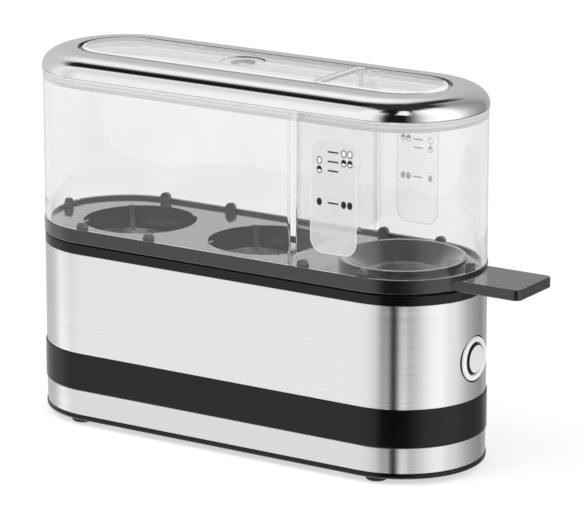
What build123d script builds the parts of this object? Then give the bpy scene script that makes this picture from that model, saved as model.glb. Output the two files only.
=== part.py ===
from build123d import *
from math import cos, radians, sin, sqrt
import os

# Electric egg cooker: a stadium-shaped steel base with a water dish, a lift-out egg tray and a clear hood.
# Millimetres. +Z is up, +X points to the tray's handle and the push button, -Y is the front.
# The origin is on the table, at the middle of the base.
os.makedirs("parts", exist_ok=True)

# Plan outline of the base
body_length = 180.0
body_width = 60.0

# Heights of the stack, from the table up
foot_height = 2.1
cover_thickness = 1.9
lower_sleeve_height = 9.6
band_height = 14.0
upper_sleeve_height = 37.9
collar_height = 3.7
seam_gap = 0.4
tray_rim_height = 5.1
hood_wall_height = 55.8
ring_height = 7.5

# Walls, steps and clearances
sleeve_wall = 0.8
sleeve_edge = 0.25
sleeve_clearance = 0.2
housing_wall = 2.0
band_proud = 0.4
band_edge = 0.3
cover_proud = 0.3
cover_edge = 0.8
tray_rim_proud = 0.2
hood_inset = 0.1
ring_proud = 0.2
slip_clearance = 0.1
thread_clearance = 0.05
moving_clearance = 0.3
lid_clearance = 0.5

# Water dish and its clamping
dish_depth = 9.0
dish_sheet = 1.0
dish_corner = 4.0
collar_skirt = 1.5
seal_thickness = 1.0
ledge_thickness = 4.0
ledge_width = 5.0
ledge_gap = 0.5
collar_width = 6.8
collar_chamfer = 0.5

# Screws
screw_head_height = 1.8
collar_screw_r = 1.2
collar_screw_head_r = 2.2
collar_screw_bite = 3.5
collar_boss_width = 5.4
collar_boss_wall = 1.5
collar_boss_roof = 1.0
cover_screw_r = 1.45
cover_screw_head_r = 2.8
cover_screw_length = 12.0
cover_screw_inset = 12.0
screw_end_room = 1.0
boss_r = 4.5
boss_height = 18.0
boss_wall_overlap = 0.3
cover_pad_height = 2.0
cover_spigot_wall = 1.6

# Feet
foot_r = 4.0
foot_end_reach = 4.0
foot_inset = 6.5
foot_pocket = 0.6
foot_chamfer = 0.5

# Heating element under the dish: a flat-topped tube bent to a hairpin
element_width = 6.0
element_bend_inset = 20.0
element_end_inset = 4.0
element_gaps = 4
element_drop = 6.0
element_pin_r = 1.2
element_pin_length = 6.0
clamp_width = 8.0
clamp_overhang = 1.0
clamp_sheet = 1.5
clamp_stud_r = 2.0
clamp_nut_flats = 7.0
clamp_nut_height = 3.2
stud_tail = 1.0

# Thermostat and thermal fuse on the dish's underside
thermostat_r = 8.0
thermostat_can_height = 8.0
thermostat_base_r = 7.0
thermostat_base_height = 8.0
thermostat_ear_spacing = 24.0
thermostat_ear_width = 7.0
thermostat_ear_sheet = 1.0
thermostat_ear_drop = 2.0
thermostat_stud_r = 1.5
thermostat_nut_flats = 5.5
thermostat_nut_height = 2.4
thermostat_blade_spacing = 9.0
blade_width = 4.8
blade_sheet = 2.2
blade_length = 6.0
fuse_r = 2.2
fuse_length = 12.0
fuse_lead = 2.6
fuse_lead_room = 0.4
clip_width = 5.0
clip_sheet = 0.6
clip_foot = 3.0

# Push button on the right end
button_drop = 11.5
bezel_r = 8.0
bezel_front_proud = 0.3
bezel_seat_depth = 2.4
bezel_barrel_r = 7.4
bezel_barrel_length = 9.6
bezel_lip = 2.0
bezel_wall = 0.8
bezel_edge = 0.7
bezel_gap = 0.5
cap_r = 5.2
cap_gap = 0.7
cap_proud = 0.4
cap_flange_height = 1.5
cap_stem_r = 2.4
cap_edge = 0.5
button_travel = 1.5
pad_depth = 5.6
pad_rim = 1.6
ring_nut_flats = 17.0
ring_nut_thickness = 3.0
switch_width = 15.0
switch_length = 14.0
switch_blade_spacing = 8.0
plunger_width = 4.0
plunger_grip = 4.0

# Mains inlet on the back and the wiring inside
gland_inset = 35.0
gland_bore_r = 3.1
gland_body_r = 4.5
gland_flange_r = 6.0
gland_flange = 1.0
gland_lip_r = 5.5
gland_lip = 2.0
terminal_block_inset = 15.0
terminal_block_length = 24.0
terminal_block_width = 14.0
terminal_block_height = 12.0
terminal_hole_r = 1.6
terminal_hole_depth = 5.0
terminal_pitch = 7.0
wire_r = 1.0
wire_bend = 2.5
feed_lead = 8.0
sensor_lead = 11.0
sensor_bow = 5.0
sensor_drop = 6.0
fuse_drop = 12.0
return_drop = 20.0
return_lead = 13.0

# Egg tray
tray_floor_drop = 1.2
tray_floor_thickness = 2.0
tray_rim_wall = 1.9
tray_rim_edge = 0.3
tray_foot_inset = 1.0
tray_foot_width = 3.2
seat_clearance = 0.7
seat_wall = 1.5
seat_depth = 8.0
left_gap_share = 0.236
middle_gap_share = 0.35
fin_angles = (45.0, 135.0, 225.0, 315.0)
fin_thickness = 1.6
fin_top_reach = 1.6
fin_rise = 0.8
fin_bottom_reach = 6.0
bowl_clearance = 0.4
bowl_rise = 2.7
bowl_rim = 1.4
bowl_slope_run = 8.4
bowl_depth = 6.2
bowl_sheet = 1.6
bowl_blend = 3.0
lug_offset = 33.0
lug_width = 4.0
lug_wall = 1.6
lug_height = 3.7
handle_reach = 24.0
handle_width = 24.2
handle_thickness = 3.9
handle_corner = 2.5
handle_edge = 0.5

# Clear hood and its plated ring
hood_wall = 1.8
hood_edge = 0.3
hood_step = 1.3
hood_ledge_drop = 3.0
hood_roof = 1.8
shoulder_round = 5.5
roof_round = 4.2
panel_proud = 0.4
panel_gap = 1.2
panel_edge = 1.5
vent_x = -7.7
vent_r = 4.25
vent_ring_r = 8.0
vent_ring_depth = 0.4
partition_bowl_gap = 4.2
partition_wall = 2.2
partition_foot = 3.3
partition_edge = 0.8
partition_blend = 1.0
ring_wall = 1.8
ring_lip = 1.0
ring_width = 13.2
ring_round_width = 10.0
ring_foot_round = 0.4

# Angles, and the sides of the nuts
quarter_turn = 90
half_turn = 180
hexagon_sides = 6

# Rectangles placed by the middle of their lower or upper edge
standing = (Align.CENTER, Align.MIN)
hanging = (Align.CENTER, Align.MAX)

# Levels that follow from the stack
cover_z = foot_height
lower_sleeve_z = cover_z + cover_thickness
band_z = lower_sleeve_z + lower_sleeve_height
upper_sleeve_z = band_z + band_height
collar_z = upper_sleeve_z + upper_sleeve_height
tray_z = collar_z + collar_height
rim_z = tray_z + seam_gap
hood_z = rim_z + tray_rim_height
ring_z = hood_z + hood_wall_height
top_z = ring_z + ring_height
flange_top_z = collar_z - collar_skirt
flange_z = flange_top_z - dish_sheet
ledge_top_z = flange_z - seal_thickness
ledge_z = ledge_top_z - ledge_thickness
dish_floor_z = flange_top_z - dish_depth
dish_under_z = dish_floor_z - dish_sheet
element_z = dish_under_z - element_width
button_z = dish_under_z - button_drop
boss_z = lower_sleeve_z + cover_pad_height
gland_z = band_z + band_height / 2

# Half-widths that follow from the walls
body_r = body_width / 2
end_spacing = body_length - body_width
end_x = end_spacing / 2
housing_r = body_r - sleeve_wall - sleeve_clearance
housing_inner_r = housing_r - housing_wall
band_r = body_r + band_proud
cover_r = body_r + cover_proud
tray_r = body_r + tray_rim_proud
hood_r = body_r - hood_inset
hood_inner_r = hood_r - hood_wall
ring_r = body_r + ring_proud
ledge_inner_r = housing_inner_r - ledge_width
dish_r = ledge_inner_r - ledge_gap
dish_half_width = dish_r - dish_sheet
flange_r = housing_r - sleeve_clearance
collar_inner_r = body_r - collar_width
seat_outer_r = collar_inner_r - seat_clearance
seat_r = seat_outer_r - seat_wall
bowl_outer_r = collar_inner_r - bowl_clearance
bowl_r = bowl_outer_r - bowl_rim
bowl_floor_r = bowl_r - bowl_slope_run
ring_opening_r = ring_r - ring_width
panel_half_width = ring_opening_r - panel_gap
clip_inner_r = fuse_r + slip_clearance
clip_outer_r = clip_inner_r + clip_sheet
boss_y = housing_inner_r - boss_r + boss_wall_overlap
collar_screw_y = (ledge_inner_r + housing_inner_r) / 2
fuse_turn_y = fuse_length / 2 + fuse_lead
element_arm_y = fuse_turn_y + wire_r + fuse_lead_room + element_width / 2

# Places along the length: the bowl is round the right end, and the seats share the length left over
bowl_x = end_x
spare_length = bowl_x - bowl_outer_r - 3 * seat_outer_r + end_x
left_seat_x = left_gap_share * spare_length - end_x
right_seat_x = left_seat_x + 2 * seat_outer_r + middle_gap_share * spare_length
seat_places = (left_seat_x, right_seat_x)
lug_places = (-end_x, right_seat_x - lug_offset, right_seat_x + lug_offset, end_x)
partition_x = bowl_x - bowl_outer_r - partition_bowl_gap - partition_wall / 2
collar_screw_xs = ((left_seat_x + right_seat_x) / 2, (right_seat_x + bowl_x) / 2)
gland_x = gland_inset - end_x
terminal_block_x = terminal_block_inset - end_x

# Places under the dish: clamp, thermostat, clamp and fuse in a row between the arms of the element
element_bend_x = element_bend_inset - end_x
element_end_x = end_x - element_end_inset
thermostat_span = thermostat_ear_spacing + thermostat_ear_width
clip_span = 2 * (clip_outer_r + clip_foot)
element_spare = element_end_x - element_bend_x - 2 * clamp_width - thermostat_span - clip_span
element_gap = element_spare / element_gaps
left_clamp_x = element_bend_x + element_gap + clamp_width / 2
thermostat_x = left_clamp_x + (clamp_width + thermostat_span) / 2 + element_gap
right_clamp_x = thermostat_x + (clamp_width + thermostat_span) / 2 + element_gap
clamp_places = ((left_clamp_x, 0), (right_clamp_x, 0))
fuse_x = element_end_x - clip_span / 2


def stadium(radius, mode=Mode.ADD):
    """A rectangle with two half-round ends, concentric with the base's outline."""
    return SlotCenterToCenter(end_spacing, 2 * radius, mode=mode)


def cover_screw_places():
    """The four screws that hold the bottom cover."""
    return GridLocations(2 * (end_x - cover_screw_inset), 2 * boss_y, 2, 2)


def collar_screw_places():
    """The four screws that clamp the dish between the housing and the collar."""
    return Locations(*[(x, side * collar_screw_y) for x in collar_screw_xs for side in (-1, 1)])


def foot_places():
    """The four feet."""
    return GridLocations(2 * (end_x + foot_end_reach), 2 * (body_r - foot_inset), 2, 2)


def save(piece, label):
    """Name the piece and write it as one STEP file."""
    piece.part.label = label
    export_step(piece.part, f"parts/{label}.step")


# Bottom cover: a plate with a locating spigot, pads for the screws and pockets for the feet
with BuildPart() as bottom_cover:
    with BuildSketch(Plane.XY.offset(cover_z)):
        stadium(cover_r)
    extrude(amount=cover_thickness)
    fillet(bottom_cover.edges().group_by(Axis.Z)[0], cover_edge)
    with BuildSketch(Plane.XY.offset(lower_sleeve_z)):
        stadium(housing_inner_r - sleeve_clearance)
        stadium(housing_inner_r - sleeve_clearance - cover_spigot_wall, mode=Mode.SUBTRACT)
    extrude(amount=cover_pad_height - slip_clearance)
    with BuildSketch(Plane.XY.offset(lower_sleeve_z)):
        with cover_screw_places():
            Circle(boss_r - boss_wall_overlap - sleeve_clearance)
    extrude(amount=cover_pad_height)
    with BuildSketch(Plane.XY.offset(cover_z)):
        with cover_screw_places():
            Circle(cover_screw_r + slip_clearance)
    extrude(amount=cover_thickness + cover_pad_height, mode=Mode.SUBTRACT)
    with BuildSketch(Plane.XY.offset(cover_z)):
        with cover_screw_places():
            Circle(cover_screw_head_r + slip_clearance)
    extrude(amount=screw_head_height, mode=Mode.SUBTRACT)
    with BuildSketch(Plane.XY.offset(cover_z)):
        with foot_places():
            Circle(foot_r + slip_clearance)
    extrude(amount=foot_pocket, mode=Mode.SUBTRACT)
save(bottom_cover, "bottom_cover")

# Rubber feet, pushed into the cover's pockets
with BuildPart() as rubber_feet:
    with BuildSketch():
        with foot_places():
            Circle(foot_r)
    extrude(amount=foot_height + foot_pocket)
    chamfer(rubber_feet.edges().group_by(Axis.Z)[0], foot_chamfer)
save(rubber_feet, "rubber_feet")

# Cover screws, up through the cover into the housing's bosses
cover_screw_seat_z = cover_z + screw_head_height
with BuildPart() as cover_screws:
    with BuildSketch(Plane.XY.offset(cover_z)):
        with cover_screw_places():
            Circle(cover_screw_head_r)
    extrude(amount=screw_head_height)
    with BuildSketch(Plane.XY.offset(cover_screw_seat_z)):
        with cover_screw_places():
            Circle(cover_screw_r)
    extrude(amount=cover_screw_length)
save(cover_screws, "cover_screws")

# Inside of the housing: the hollow under the ledge, less the screw bosses and the pad behind the button
bezel_seat_x = end_x + body_r - bezel_seat_depth
pad_x = bezel_seat_x - pad_depth
housing_end_x = end_x + housing_r
with BuildPart() as housing_hollow:
    with BuildSketch(Plane.XY.offset(lower_sleeve_z)):
        stadium(housing_inner_r)
    extrude(amount=ledge_z - lower_sleeve_z)
    with BuildSketch(Plane.XY.offset(boss_z)):
        with cover_screw_places():
            Circle(boss_r)
    extrude(amount=boss_height, mode=Mode.SUBTRACT)
    with BuildSketch(Plane.YZ.offset(pad_x)):
        with Locations((0, button_z)):
            Circle(bezel_r + pad_rim)
    extrude(amount=housing_end_x - pad_x, mode=Mode.SUBTRACT)

# Black band of the housing, with softened edges
with BuildPart() as housing_band:
    with BuildSketch(Plane.XY.offset(band_z)):
        stadium(band_r)
    extrude(amount=band_height)
    fillet(housing_band.faces().filter_by(Axis.Z).edges(), band_edge)

# Housing: the moulded core that the two steel sleeves slide over, with the black band between them
with BuildPart() as housing:
    with BuildSketch(Plane.XY.offset(lower_sleeve_z)):
        stadium(housing_r)
    extrude(amount=ledge_top_z - lower_sleeve_z)
    add(housing_band.part)
    add(housing_hollow.part, mode=Mode.SUBTRACT)
    with BuildSketch(Plane.XY.offset(ledge_z)):
        stadium(ledge_inner_r)
        with collar_screw_places():
            Circle(collar_screw_r + slip_clearance)
    extrude(amount=ledge_thickness, mode=Mode.SUBTRACT)
    with BuildSketch(Plane.XY.offset(boss_z)):
        with cover_screw_places():
            Circle(cover_screw_r + thread_clearance)
    extrude(amount=cover_screw_length, mode=Mode.SUBTRACT)
    with BuildSketch(Plane.YZ.offset(pad_x)):
        with Locations((0, button_z)):
            Circle(bezel_barrel_r + slip_clearance)
    extrude(amount=pad_depth, mode=Mode.SUBTRACT)
    with BuildSketch(Plane.YZ.offset(bezel_seat_x)):
        with Locations((0, button_z)):
            Circle(bezel_r + bezel_gap)
    extrude(amount=housing_end_x - bezel_seat_x, mode=Mode.SUBTRACT)
    with BuildSketch(Plane.XZ.offset(-band_r)):
        with Locations((gland_x, gland_z)):
            Circle(gland_body_r + slip_clearance)
    extrude(amount=band_r - housing_inner_r, mode=Mode.SUBTRACT)
save(housing, "housing")

# Brushed steel sleeves, one below the band and one above it
with BuildPart() as lower_steel_sleeve:
    with BuildSketch(Plane.XY.offset(lower_sleeve_z)):
        stadium(body_r)
        stadium(body_r - sleeve_wall, mode=Mode.SUBTRACT)
    extrude(amount=lower_sleeve_height)
    fillet(lower_steel_sleeve.faces().filter_by(Axis.Z).edges(), sleeve_edge)
save(lower_steel_sleeve, "lower_steel_sleeve")

with BuildPart() as upper_steel_sleeve:
    with BuildSketch(Plane.XY.offset(upper_sleeve_z)):
        stadium(body_r)
        stadium(body_r - sleeve_wall, mode=Mode.SUBTRACT)
    extrude(amount=upper_sleeve_height)
    fillet(upper_steel_sleeve.faces().filter_by(Axis.Z).edges(), sleeve_edge)
    with BuildSketch(Plane.YZ.offset(end_x)):
        with Locations((0, button_z)):
            Circle(bezel_r + bezel_gap)
    extrude(amount=body_r, mode=Mode.SUBTRACT)
save(upper_steel_sleeve, "upper_steel_sleeve")

# Seal between the housing's ledge and the dish's flange
with BuildPart() as dish_seal:
    with BuildSketch(Plane.XY.offset(ledge_top_z)):
        stadium(flange_r)
        stadium(ledge_inner_r, mode=Mode.SUBTRACT)
        with collar_screw_places():
            Circle(collar_screw_r + slip_clearance, mode=Mode.SUBTRACT)
    extrude(amount=seal_thickness)
save(dish_seal, "dish_seal")

# Water dish: a pressed pan with a flange, and studs under its floor for the clamps and the thermostat
clamp_z = element_z - clamp_sheet
clamp_nut_z = clamp_z - clamp_nut_height
ear_z = dish_under_z - thermostat_ear_drop - thermostat_ear_sheet
thermostat_nut_z = ear_z - thermostat_nut_height
ear_places = [(thermostat_x + side * thermostat_ear_spacing / 2, 0) for side in (-1, 1)]
with BuildPart() as dish_well:
    with BuildSketch(Plane.XY.offset(dish_floor_z)):
        stadium(dish_half_width)
    extrude(amount=dish_depth)
    fillet(dish_well.edges().group_by(Axis.Z)[0], dish_corner)

with BuildPart() as heating_dish:
    with BuildSketch(Plane.XY.offset(dish_under_z)):
        stadium(dish_r)
    extrude(amount=flange_top_z - dish_under_z)
    fillet(heating_dish.edges().group_by(Axis.Z)[0], dish_corner + dish_sheet)
    with BuildSketch(Plane.XY.offset(flange_z)):
        stadium(flange_r)
        with collar_screw_places():
            Circle(collar_screw_r + slip_clearance, mode=Mode.SUBTRACT)
    extrude(amount=dish_sheet)
    add(dish_well.part, mode=Mode.SUBTRACT)
    with BuildSketch(Plane.XY.offset(dish_under_z)):
        with Locations(*clamp_places):
            Circle(clamp_stud_r)
    extrude(amount=clamp_nut_z - stud_tail - dish_under_z)
    with BuildSketch(Plane.XY.offset(dish_under_z)):
        with Locations(*ear_places):
            Circle(thermostat_stud_r)
    extrude(amount=thermostat_nut_z - stud_tail - dish_under_z)
save(heating_dish, "heating_dish")

# Top collar: presses the dish's flange down, covers the steel's upper edge and has a boss for each screw
with BuildPart() as top_collar:
    with BuildSketch(Plane.XY.offset(flange_top_z)):
        stadium(flange_r)
    extrude(amount=collar_skirt)
    with BuildSketch(Plane.XY.offset(collar_z)):
        stadium(body_r)
    extrude(amount=collar_height)
    with BuildSketch(Plane.XY.offset(flange_top_z)):
        stadium(collar_inner_r)
    extrude(amount=tray_z - flange_top_z, mode=Mode.SUBTRACT)
    with BuildSketch(Plane.XY.offset(flange_top_z)):
        with collar_screw_places():
            Rectangle(collar_boss_width, 2 * (flange_r - collar_screw_y))
        stadium(collar_screw_y - collar_screw_r - collar_boss_wall, mode=Mode.SUBTRACT)
    extrude(amount=collar_screw_bite + collar_boss_roof)
    with BuildSketch(Plane.XY.offset(flange_top_z)):
        with collar_screw_places():
            Circle(collar_screw_r + thread_clearance)
    extrude(amount=collar_screw_bite, mode=Mode.SUBTRACT)
    chamfer(top_collar.faces().sort_by(Axis.Z)[-1].edges(), collar_chamfer)
save(top_collar, "top_collar")

# Collar screws, up through the ledge, the seal and the flange into the collar
with BuildPart() as collar_screws:
    with BuildSketch(Plane.XY.offset(ledge_z - screw_head_height)):
        with collar_screw_places():
            Circle(collar_screw_head_r)
    extrude(amount=screw_head_height)
    with BuildSketch(Plane.XY.offset(ledge_z)):
        with collar_screw_places():
            Circle(collar_screw_r)
    extrude(amount=flange_top_z - ledge_z + collar_screw_bite - screw_end_room)
save(collar_screws, "collar_screws")

# Heating element: a hairpin tube pressed flat against the dish, with its two cold ends turned down
element_mid_z = element_z + element_width / 2
element_tail_z = element_z - element_drop
element_pin_z = element_tail_z - element_pin_length
element_ends = [(element_end_x, side * element_arm_y) for side in (-1, 1)]
with BuildPart() as heating_element:
    with BuildLine(Plane.XY.offset(element_mid_z)) as hairpin:
        Line((element_end_x, element_arm_y), (element_bend_x, element_arm_y))
        CenterArc((element_bend_x, 0), element_arm_y, quarter_turn, half_turn)
        Line((element_bend_x, -element_arm_y), (element_end_x, -element_arm_y))
    with BuildSketch(Plane(origin=hairpin.wire() @ 0, x_dir=(0, -1, 0), z_dir=hairpin.wire() % 0)):
        Circle(element_width / 2)
        Rectangle(element_width, element_width / 2, align=standing)
    sweep(path=hairpin.wire())
    with BuildSketch(Plane.XY.offset(dish_under_z)):
        with Locations(*element_ends):
            Circle(element_width / 2)
    extrude(amount=element_tail_z - dish_under_z)
    with BuildSketch(Plane.XY.offset(element_tail_z)):
        with Locations(*element_ends):
            Circle(element_pin_r)
    extrude(amount=element_pin_z - element_tail_z)
save(heating_element, "heating_element")

# Clamp bars across the two arms of the element, with their nuts
clamp_length = 2 * element_arm_y + element_width + 2 * clamp_overhang
with BuildPart() as element_clamps:
    with BuildSketch(Plane.XY.offset(clamp_z)):
        with Locations(*clamp_places):
            Rectangle(clamp_width, clamp_length)
            Circle(clamp_stud_r + slip_clearance, mode=Mode.SUBTRACT)
    extrude(amount=clamp_sheet)
save(element_clamps, "element_clamps")

with BuildPart() as clamp_nuts:
    with BuildSketch(Plane.XY.offset(clamp_nut_z)):
        with Locations(*clamp_places):
            RegularPolygon(clamp_nut_flats / 2, hexagon_sides, major_radius=False)
            Circle(clamp_stud_r + thread_clearance, mode=Mode.SUBTRACT)
    extrude(amount=clamp_nut_height)
save(clamp_nuts, "clamp_nuts")

# Thermostat: a metal can against the dish, on a strap with two ears, over a moulded base with two blades
thermostat_can_z = dish_under_z - thermostat_can_height
thermostat_base_z = thermostat_can_z - thermostat_base_height
thermostat_blade_z = thermostat_base_z - blade_length
thermostat_blades = [(thermostat_x + side * thermostat_blade_spacing / 2, 0) for side in (-1, 1)]
with BuildPart() as thermostat:
    with BuildSketch(Plane.XY.offset(thermostat_can_z)):
        with Locations((thermostat_x, 0)):
            Circle(thermostat_r)
    extrude(amount=thermostat_can_height)
    with BuildSketch(Plane.XY.offset(ear_z)):
        with Locations((thermostat_x, 0)):
            SlotCenterToCenter(thermostat_ear_spacing, thermostat_ear_width)
        with Locations(*ear_places):
            Circle(thermostat_stud_r + slip_clearance, mode=Mode.SUBTRACT)
    extrude(amount=thermostat_ear_sheet)
    with BuildSketch(Plane.XY.offset(thermostat_base_z)):
        with Locations((thermostat_x, 0)):
            Circle(thermostat_base_r)
    extrude(amount=thermostat_base_height)
    with BuildSketch(Plane.XY.offset(thermostat_blade_z)):
        with Locations(*thermostat_blades):
            Rectangle(blade_sheet, blade_width)
    extrude(amount=blade_length)
save(thermostat, "thermostat")

with BuildPart() as thermostat_nuts:
    with BuildSketch(Plane.XY.offset(thermostat_nut_z)):
        with Locations(*ear_places):
            RegularPolygon(thermostat_nut_flats / 2, hexagon_sides, major_radius=False)
            Circle(thermostat_stud_r + thread_clearance, mode=Mode.SUBTRACT)
    extrude(amount=thermostat_nut_height)
save(thermostat_nuts, "thermostat_nuts")

# Thermal fuse and the sheet clip that holds it under the dish
fuse_z = dish_under_z - fuse_r - slip_clearance
with BuildPart() as thermal_fuse:
    with BuildSketch(Plane.XZ.offset(-fuse_length / 2)):
        with Locations((fuse_x, fuse_z)):
            Circle(fuse_r)
    extrude(amount=fuse_length)
save(thermal_fuse, "thermal_fuse")

clip_drop = dish_under_z - fuse_z
with BuildPart() as fuse_clip:
    with BuildSketch(Plane.XZ.offset(-clip_width / 2)):
        with Locations((fuse_x, fuse_z)):
            Circle(clip_outer_r)
        with Locations((fuse_x, dish_under_z)):
            Rectangle(2 * clip_outer_r, clip_drop, align=hanging)
            Rectangle(clip_span, clip_sheet, align=hanging)
            Rectangle(2 * clip_outer_r, 2 * clip_outer_r, align=standing, mode=Mode.SUBTRACT)
        with Locations((fuse_x, fuse_z)):
            Circle(clip_inner_r, mode=Mode.SUBTRACT)
            Rectangle(2 * clip_inner_r, clip_drop, align=standing, mode=Mode.SUBTRACT)
    extrude(amount=clip_width)
save(fuse_clip, "fuse_clip")

# Button bezel: a plated flange in a pocket of the housing, with a barrel through the wall
bezel_front_x = end_x + body_r + bezel_front_proud
bezel_rear_x = bezel_seat_x - bezel_barrel_length
bezel_lip_x = bezel_front_x - bezel_lip
bezel_bore_r = bezel_barrel_r - bezel_wall
with BuildPart() as button_bezel:
    for radius, start, end in ((bezel_r, bezel_seat_x, bezel_front_x),
                               (bezel_barrel_r, bezel_rear_x, bezel_seat_x)):
        with BuildSketch(Plane.YZ.offset(start)):
            with Locations((0, button_z)):
                Circle(radius)
        extrude(amount=end - start)
    for radius, start, end in ((bezel_bore_r, bezel_rear_x, bezel_lip_x),
                               (cap_r + cap_gap, bezel_lip_x, bezel_front_x)):
        with BuildSketch(Plane.YZ.offset(start)):
            with Locations((0, button_z)):
                Circle(radius)
        extrude(amount=end - start, mode=Mode.SUBTRACT)
    fillet(button_bezel.edges().group_by(Axis.X)[-1], bezel_edge)
save(button_bezel, "button_bezel")

# Ring nut that clamps the bezel from inside
with BuildPart() as ring_nut:
    with BuildSketch(Plane.YZ.offset(pad_x - ring_nut_thickness)):
        with Locations((0, button_z)):
            RegularPolygon(ring_nut_flats / 2, hexagon_sides, major_radius=False)
            Circle(bezel_barrel_r + thread_clearance, mode=Mode.SUBTRACT)
    extrude(amount=ring_nut_thickness)
save(ring_nut, "ring_nut")

# Switch behind the barrel, with a well for its plunger and two blades at its back
switch_rear_x = bezel_rear_x - switch_length
switch_blade_x = switch_rear_x - blade_length
switch_blades = [(0, button_z + side * switch_blade_spacing / 2) for side in (-1, 1)]
plunger_rear_x = bezel_rear_x - plunger_grip
with BuildPart() as switch_body:
    with BuildSketch(Plane.YZ.offset(switch_rear_x)):
        with Locations((0, button_z)):
            Rectangle(switch_width, switch_width)
    extrude(amount=switch_length)
    with BuildSketch(Plane.YZ.offset(bezel_rear_x)):
        with Locations((0, button_z)):
            Rectangle(plunger_width + 2 * moving_clearance, plunger_width + 2 * moving_clearance)
    extrude(amount=-(plunger_grip + button_travel + moving_clearance), mode=Mode.SUBTRACT)
    with BuildSketch(Plane.YZ.offset(switch_blade_x)):
        with Locations(*switch_blades):
            Rectangle(blade_width, blade_sheet)
    extrude(amount=blade_length)
save(switch_body, "switch_body")

# Button cap, held behind the bezel's lip by its flange, with a stem to the switch
cap_front_x = bezel_front_x + cap_proud
cap_flange_x = bezel_lip_x - cap_flange_height
stem_rear_x = bezel_rear_x + button_travel + moving_clearance
with BuildPart() as button_cap:
    for radius, start, end in ((cap_r, bezel_lip_x, cap_front_x),
                               (bezel_bore_r - moving_clearance, cap_flange_x, bezel_lip_x),
                               (cap_stem_r, stem_rear_x, cap_flange_x)):
        with BuildSketch(Plane.YZ.offset(start)):
            with Locations((0, button_z)):
                Circle(radius)
        extrude(amount=end - start)
    fillet(button_cap.edges().sort_by(Axis.X)[-1], cap_edge)
save(button_cap, "button_cap")

# Switch plunger, pushed by the cap's stem
with BuildPart() as switch_plunger:
    with BuildSketch(Plane.YZ.offset(plunger_rear_x)):
        with Locations((0, button_z)):
            Rectangle(plunger_width, plunger_width)
    extrude(amount=stem_rear_x - plunger_rear_x)
save(switch_plunger, "switch_plunger")

# Cord gland: a rubber bush in the back of the band
with BuildPart() as cord_gland:
    for radius, start, length in ((gland_flange_r, band_r + gland_flange, gland_flange),
                                  (gland_body_r, band_r, band_r - housing_inner_r),
                                  (gland_lip_r, housing_inner_r, gland_lip)):
        with BuildSketch(Plane.XZ.offset(-start)):
            with Locations((gland_x, gland_z)):
                Circle(radius)
        extrude(amount=length)
    with BuildSketch(Plane.XZ.offset(-(band_r + gland_flange))):
        with Locations((gland_x, gland_z)):
            Circle(gland_bore_r)
    extrude(amount=gland_flange + band_r - housing_inner_r + gland_lip, mode=Mode.SUBTRACT)
save(cord_gland, "cord_gland")

# Terminal block on the bottom cover, with two holes for the cord's cores in its outer end
terminal_end_x = terminal_block_x + terminal_block_length / 2
terminal_z = lower_sleeve_z + terminal_block_height / 2
with BuildPart() as terminal_block:
    with BuildSketch(Plane.XY.offset(lower_sleeve_z)):
        with Locations((terminal_block_x, 0)):
            Rectangle(terminal_block_length, terminal_block_width)
    extrude(amount=terminal_block_height)
    with BuildSketch(Plane.YZ.offset(terminal_end_x - terminal_block_length)):
        with Locations((-terminal_pitch / 2, terminal_z), (terminal_pitch / 2, terminal_z)):
            Circle(terminal_hole_r)
    extrude(amount=terminal_hole_depth, mode=Mode.SUBTRACT)
save(terminal_block, "terminal_block")


def wire(points):
    """One insulated wire along straight runs with rounded bends."""
    with BuildPart() as run:
        with BuildLine() as route:
            FilletPolyline(*points, radius=wire_bend)
        with BuildSketch(Plane(origin=route.wire() @ 0, z_dir=route.wire() % 0)):
            Circle(wire_r)
        sweep(path=route.wire())
    return run


# Wires: inlet to switch, switch to thermostat, thermostat to fuse, fuse to heater, heater to inlet
low_blade, high_blade = [(switch_blade_x, y, z) for y, z in switch_blades]
left_blade, right_blade = [(x, y, thermostat_blade_z) for x, y in thermostat_blades]
near_pin, far_pin = [(x, y, element_pin_z) for x, y in element_ends]
feed_rise_x = switch_blade_x - feed_lead
sensor_drop_x = switch_blade_x - sensor_lead
sensor_run_z = thermostat_blade_z - sensor_drop
fuse_run_z = thermostat_blade_z - fuse_drop
return_run_z = element_pin_z - return_drop
terminal_y = terminal_pitch / 2
wire_routes = {
    "feed_wire": [
        (terminal_end_x, terminal_y, terminal_z),
        (feed_rise_x, terminal_y, terminal_z),
        (feed_rise_x, 0, low_blade[2]),
        low_blade,
    ],
    "sensor_wire": [
        high_blade,
        (sensor_drop_x, 0, high_blade[2]),
        (sensor_drop_x, -sensor_bow, sensor_run_z),
        (right_blade[0], 0, sensor_run_z),
        right_blade,
    ],
    "fuse_wire": [
        left_blade,
        (left_blade[0], 0, fuse_run_z),
        (fuse_x, -fuse_turn_y, fuse_run_z),
        (fuse_x, -fuse_turn_y, fuse_z),
        (fuse_x, -fuse_length / 2, fuse_z),
    ],
    "heater_wire": [
        (fuse_x, fuse_length / 2, fuse_z),
        (fuse_x, fuse_turn_y, fuse_z),
        (fuse_x, fuse_turn_y, sensor_run_z),
        (far_pin[0], far_pin[1], sensor_run_z),
        far_pin,
    ],
    "return_wire": [
        near_pin,
        (near_pin[0], near_pin[1], return_run_z),
        (terminal_end_x + return_lead, -terminal_y, terminal_z),
        (terminal_end_x, -terminal_y, terminal_z),
    ],
}
for name, points in wire_routes.items():
    save(wire(points), name)


def radial_plane(centre_x, angle):
    """The upright plane through a seat's axis, with its x axis pointing outwards at the angle."""
    turn = radians(angle)
    outwards = (cos(turn), sin(turn), 0)
    sideways = (sin(turn), -cos(turn), 0)
    return Plane(origin=(centre_x, 0, 0), x_dir=outwards, z_dir=sideways)


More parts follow.
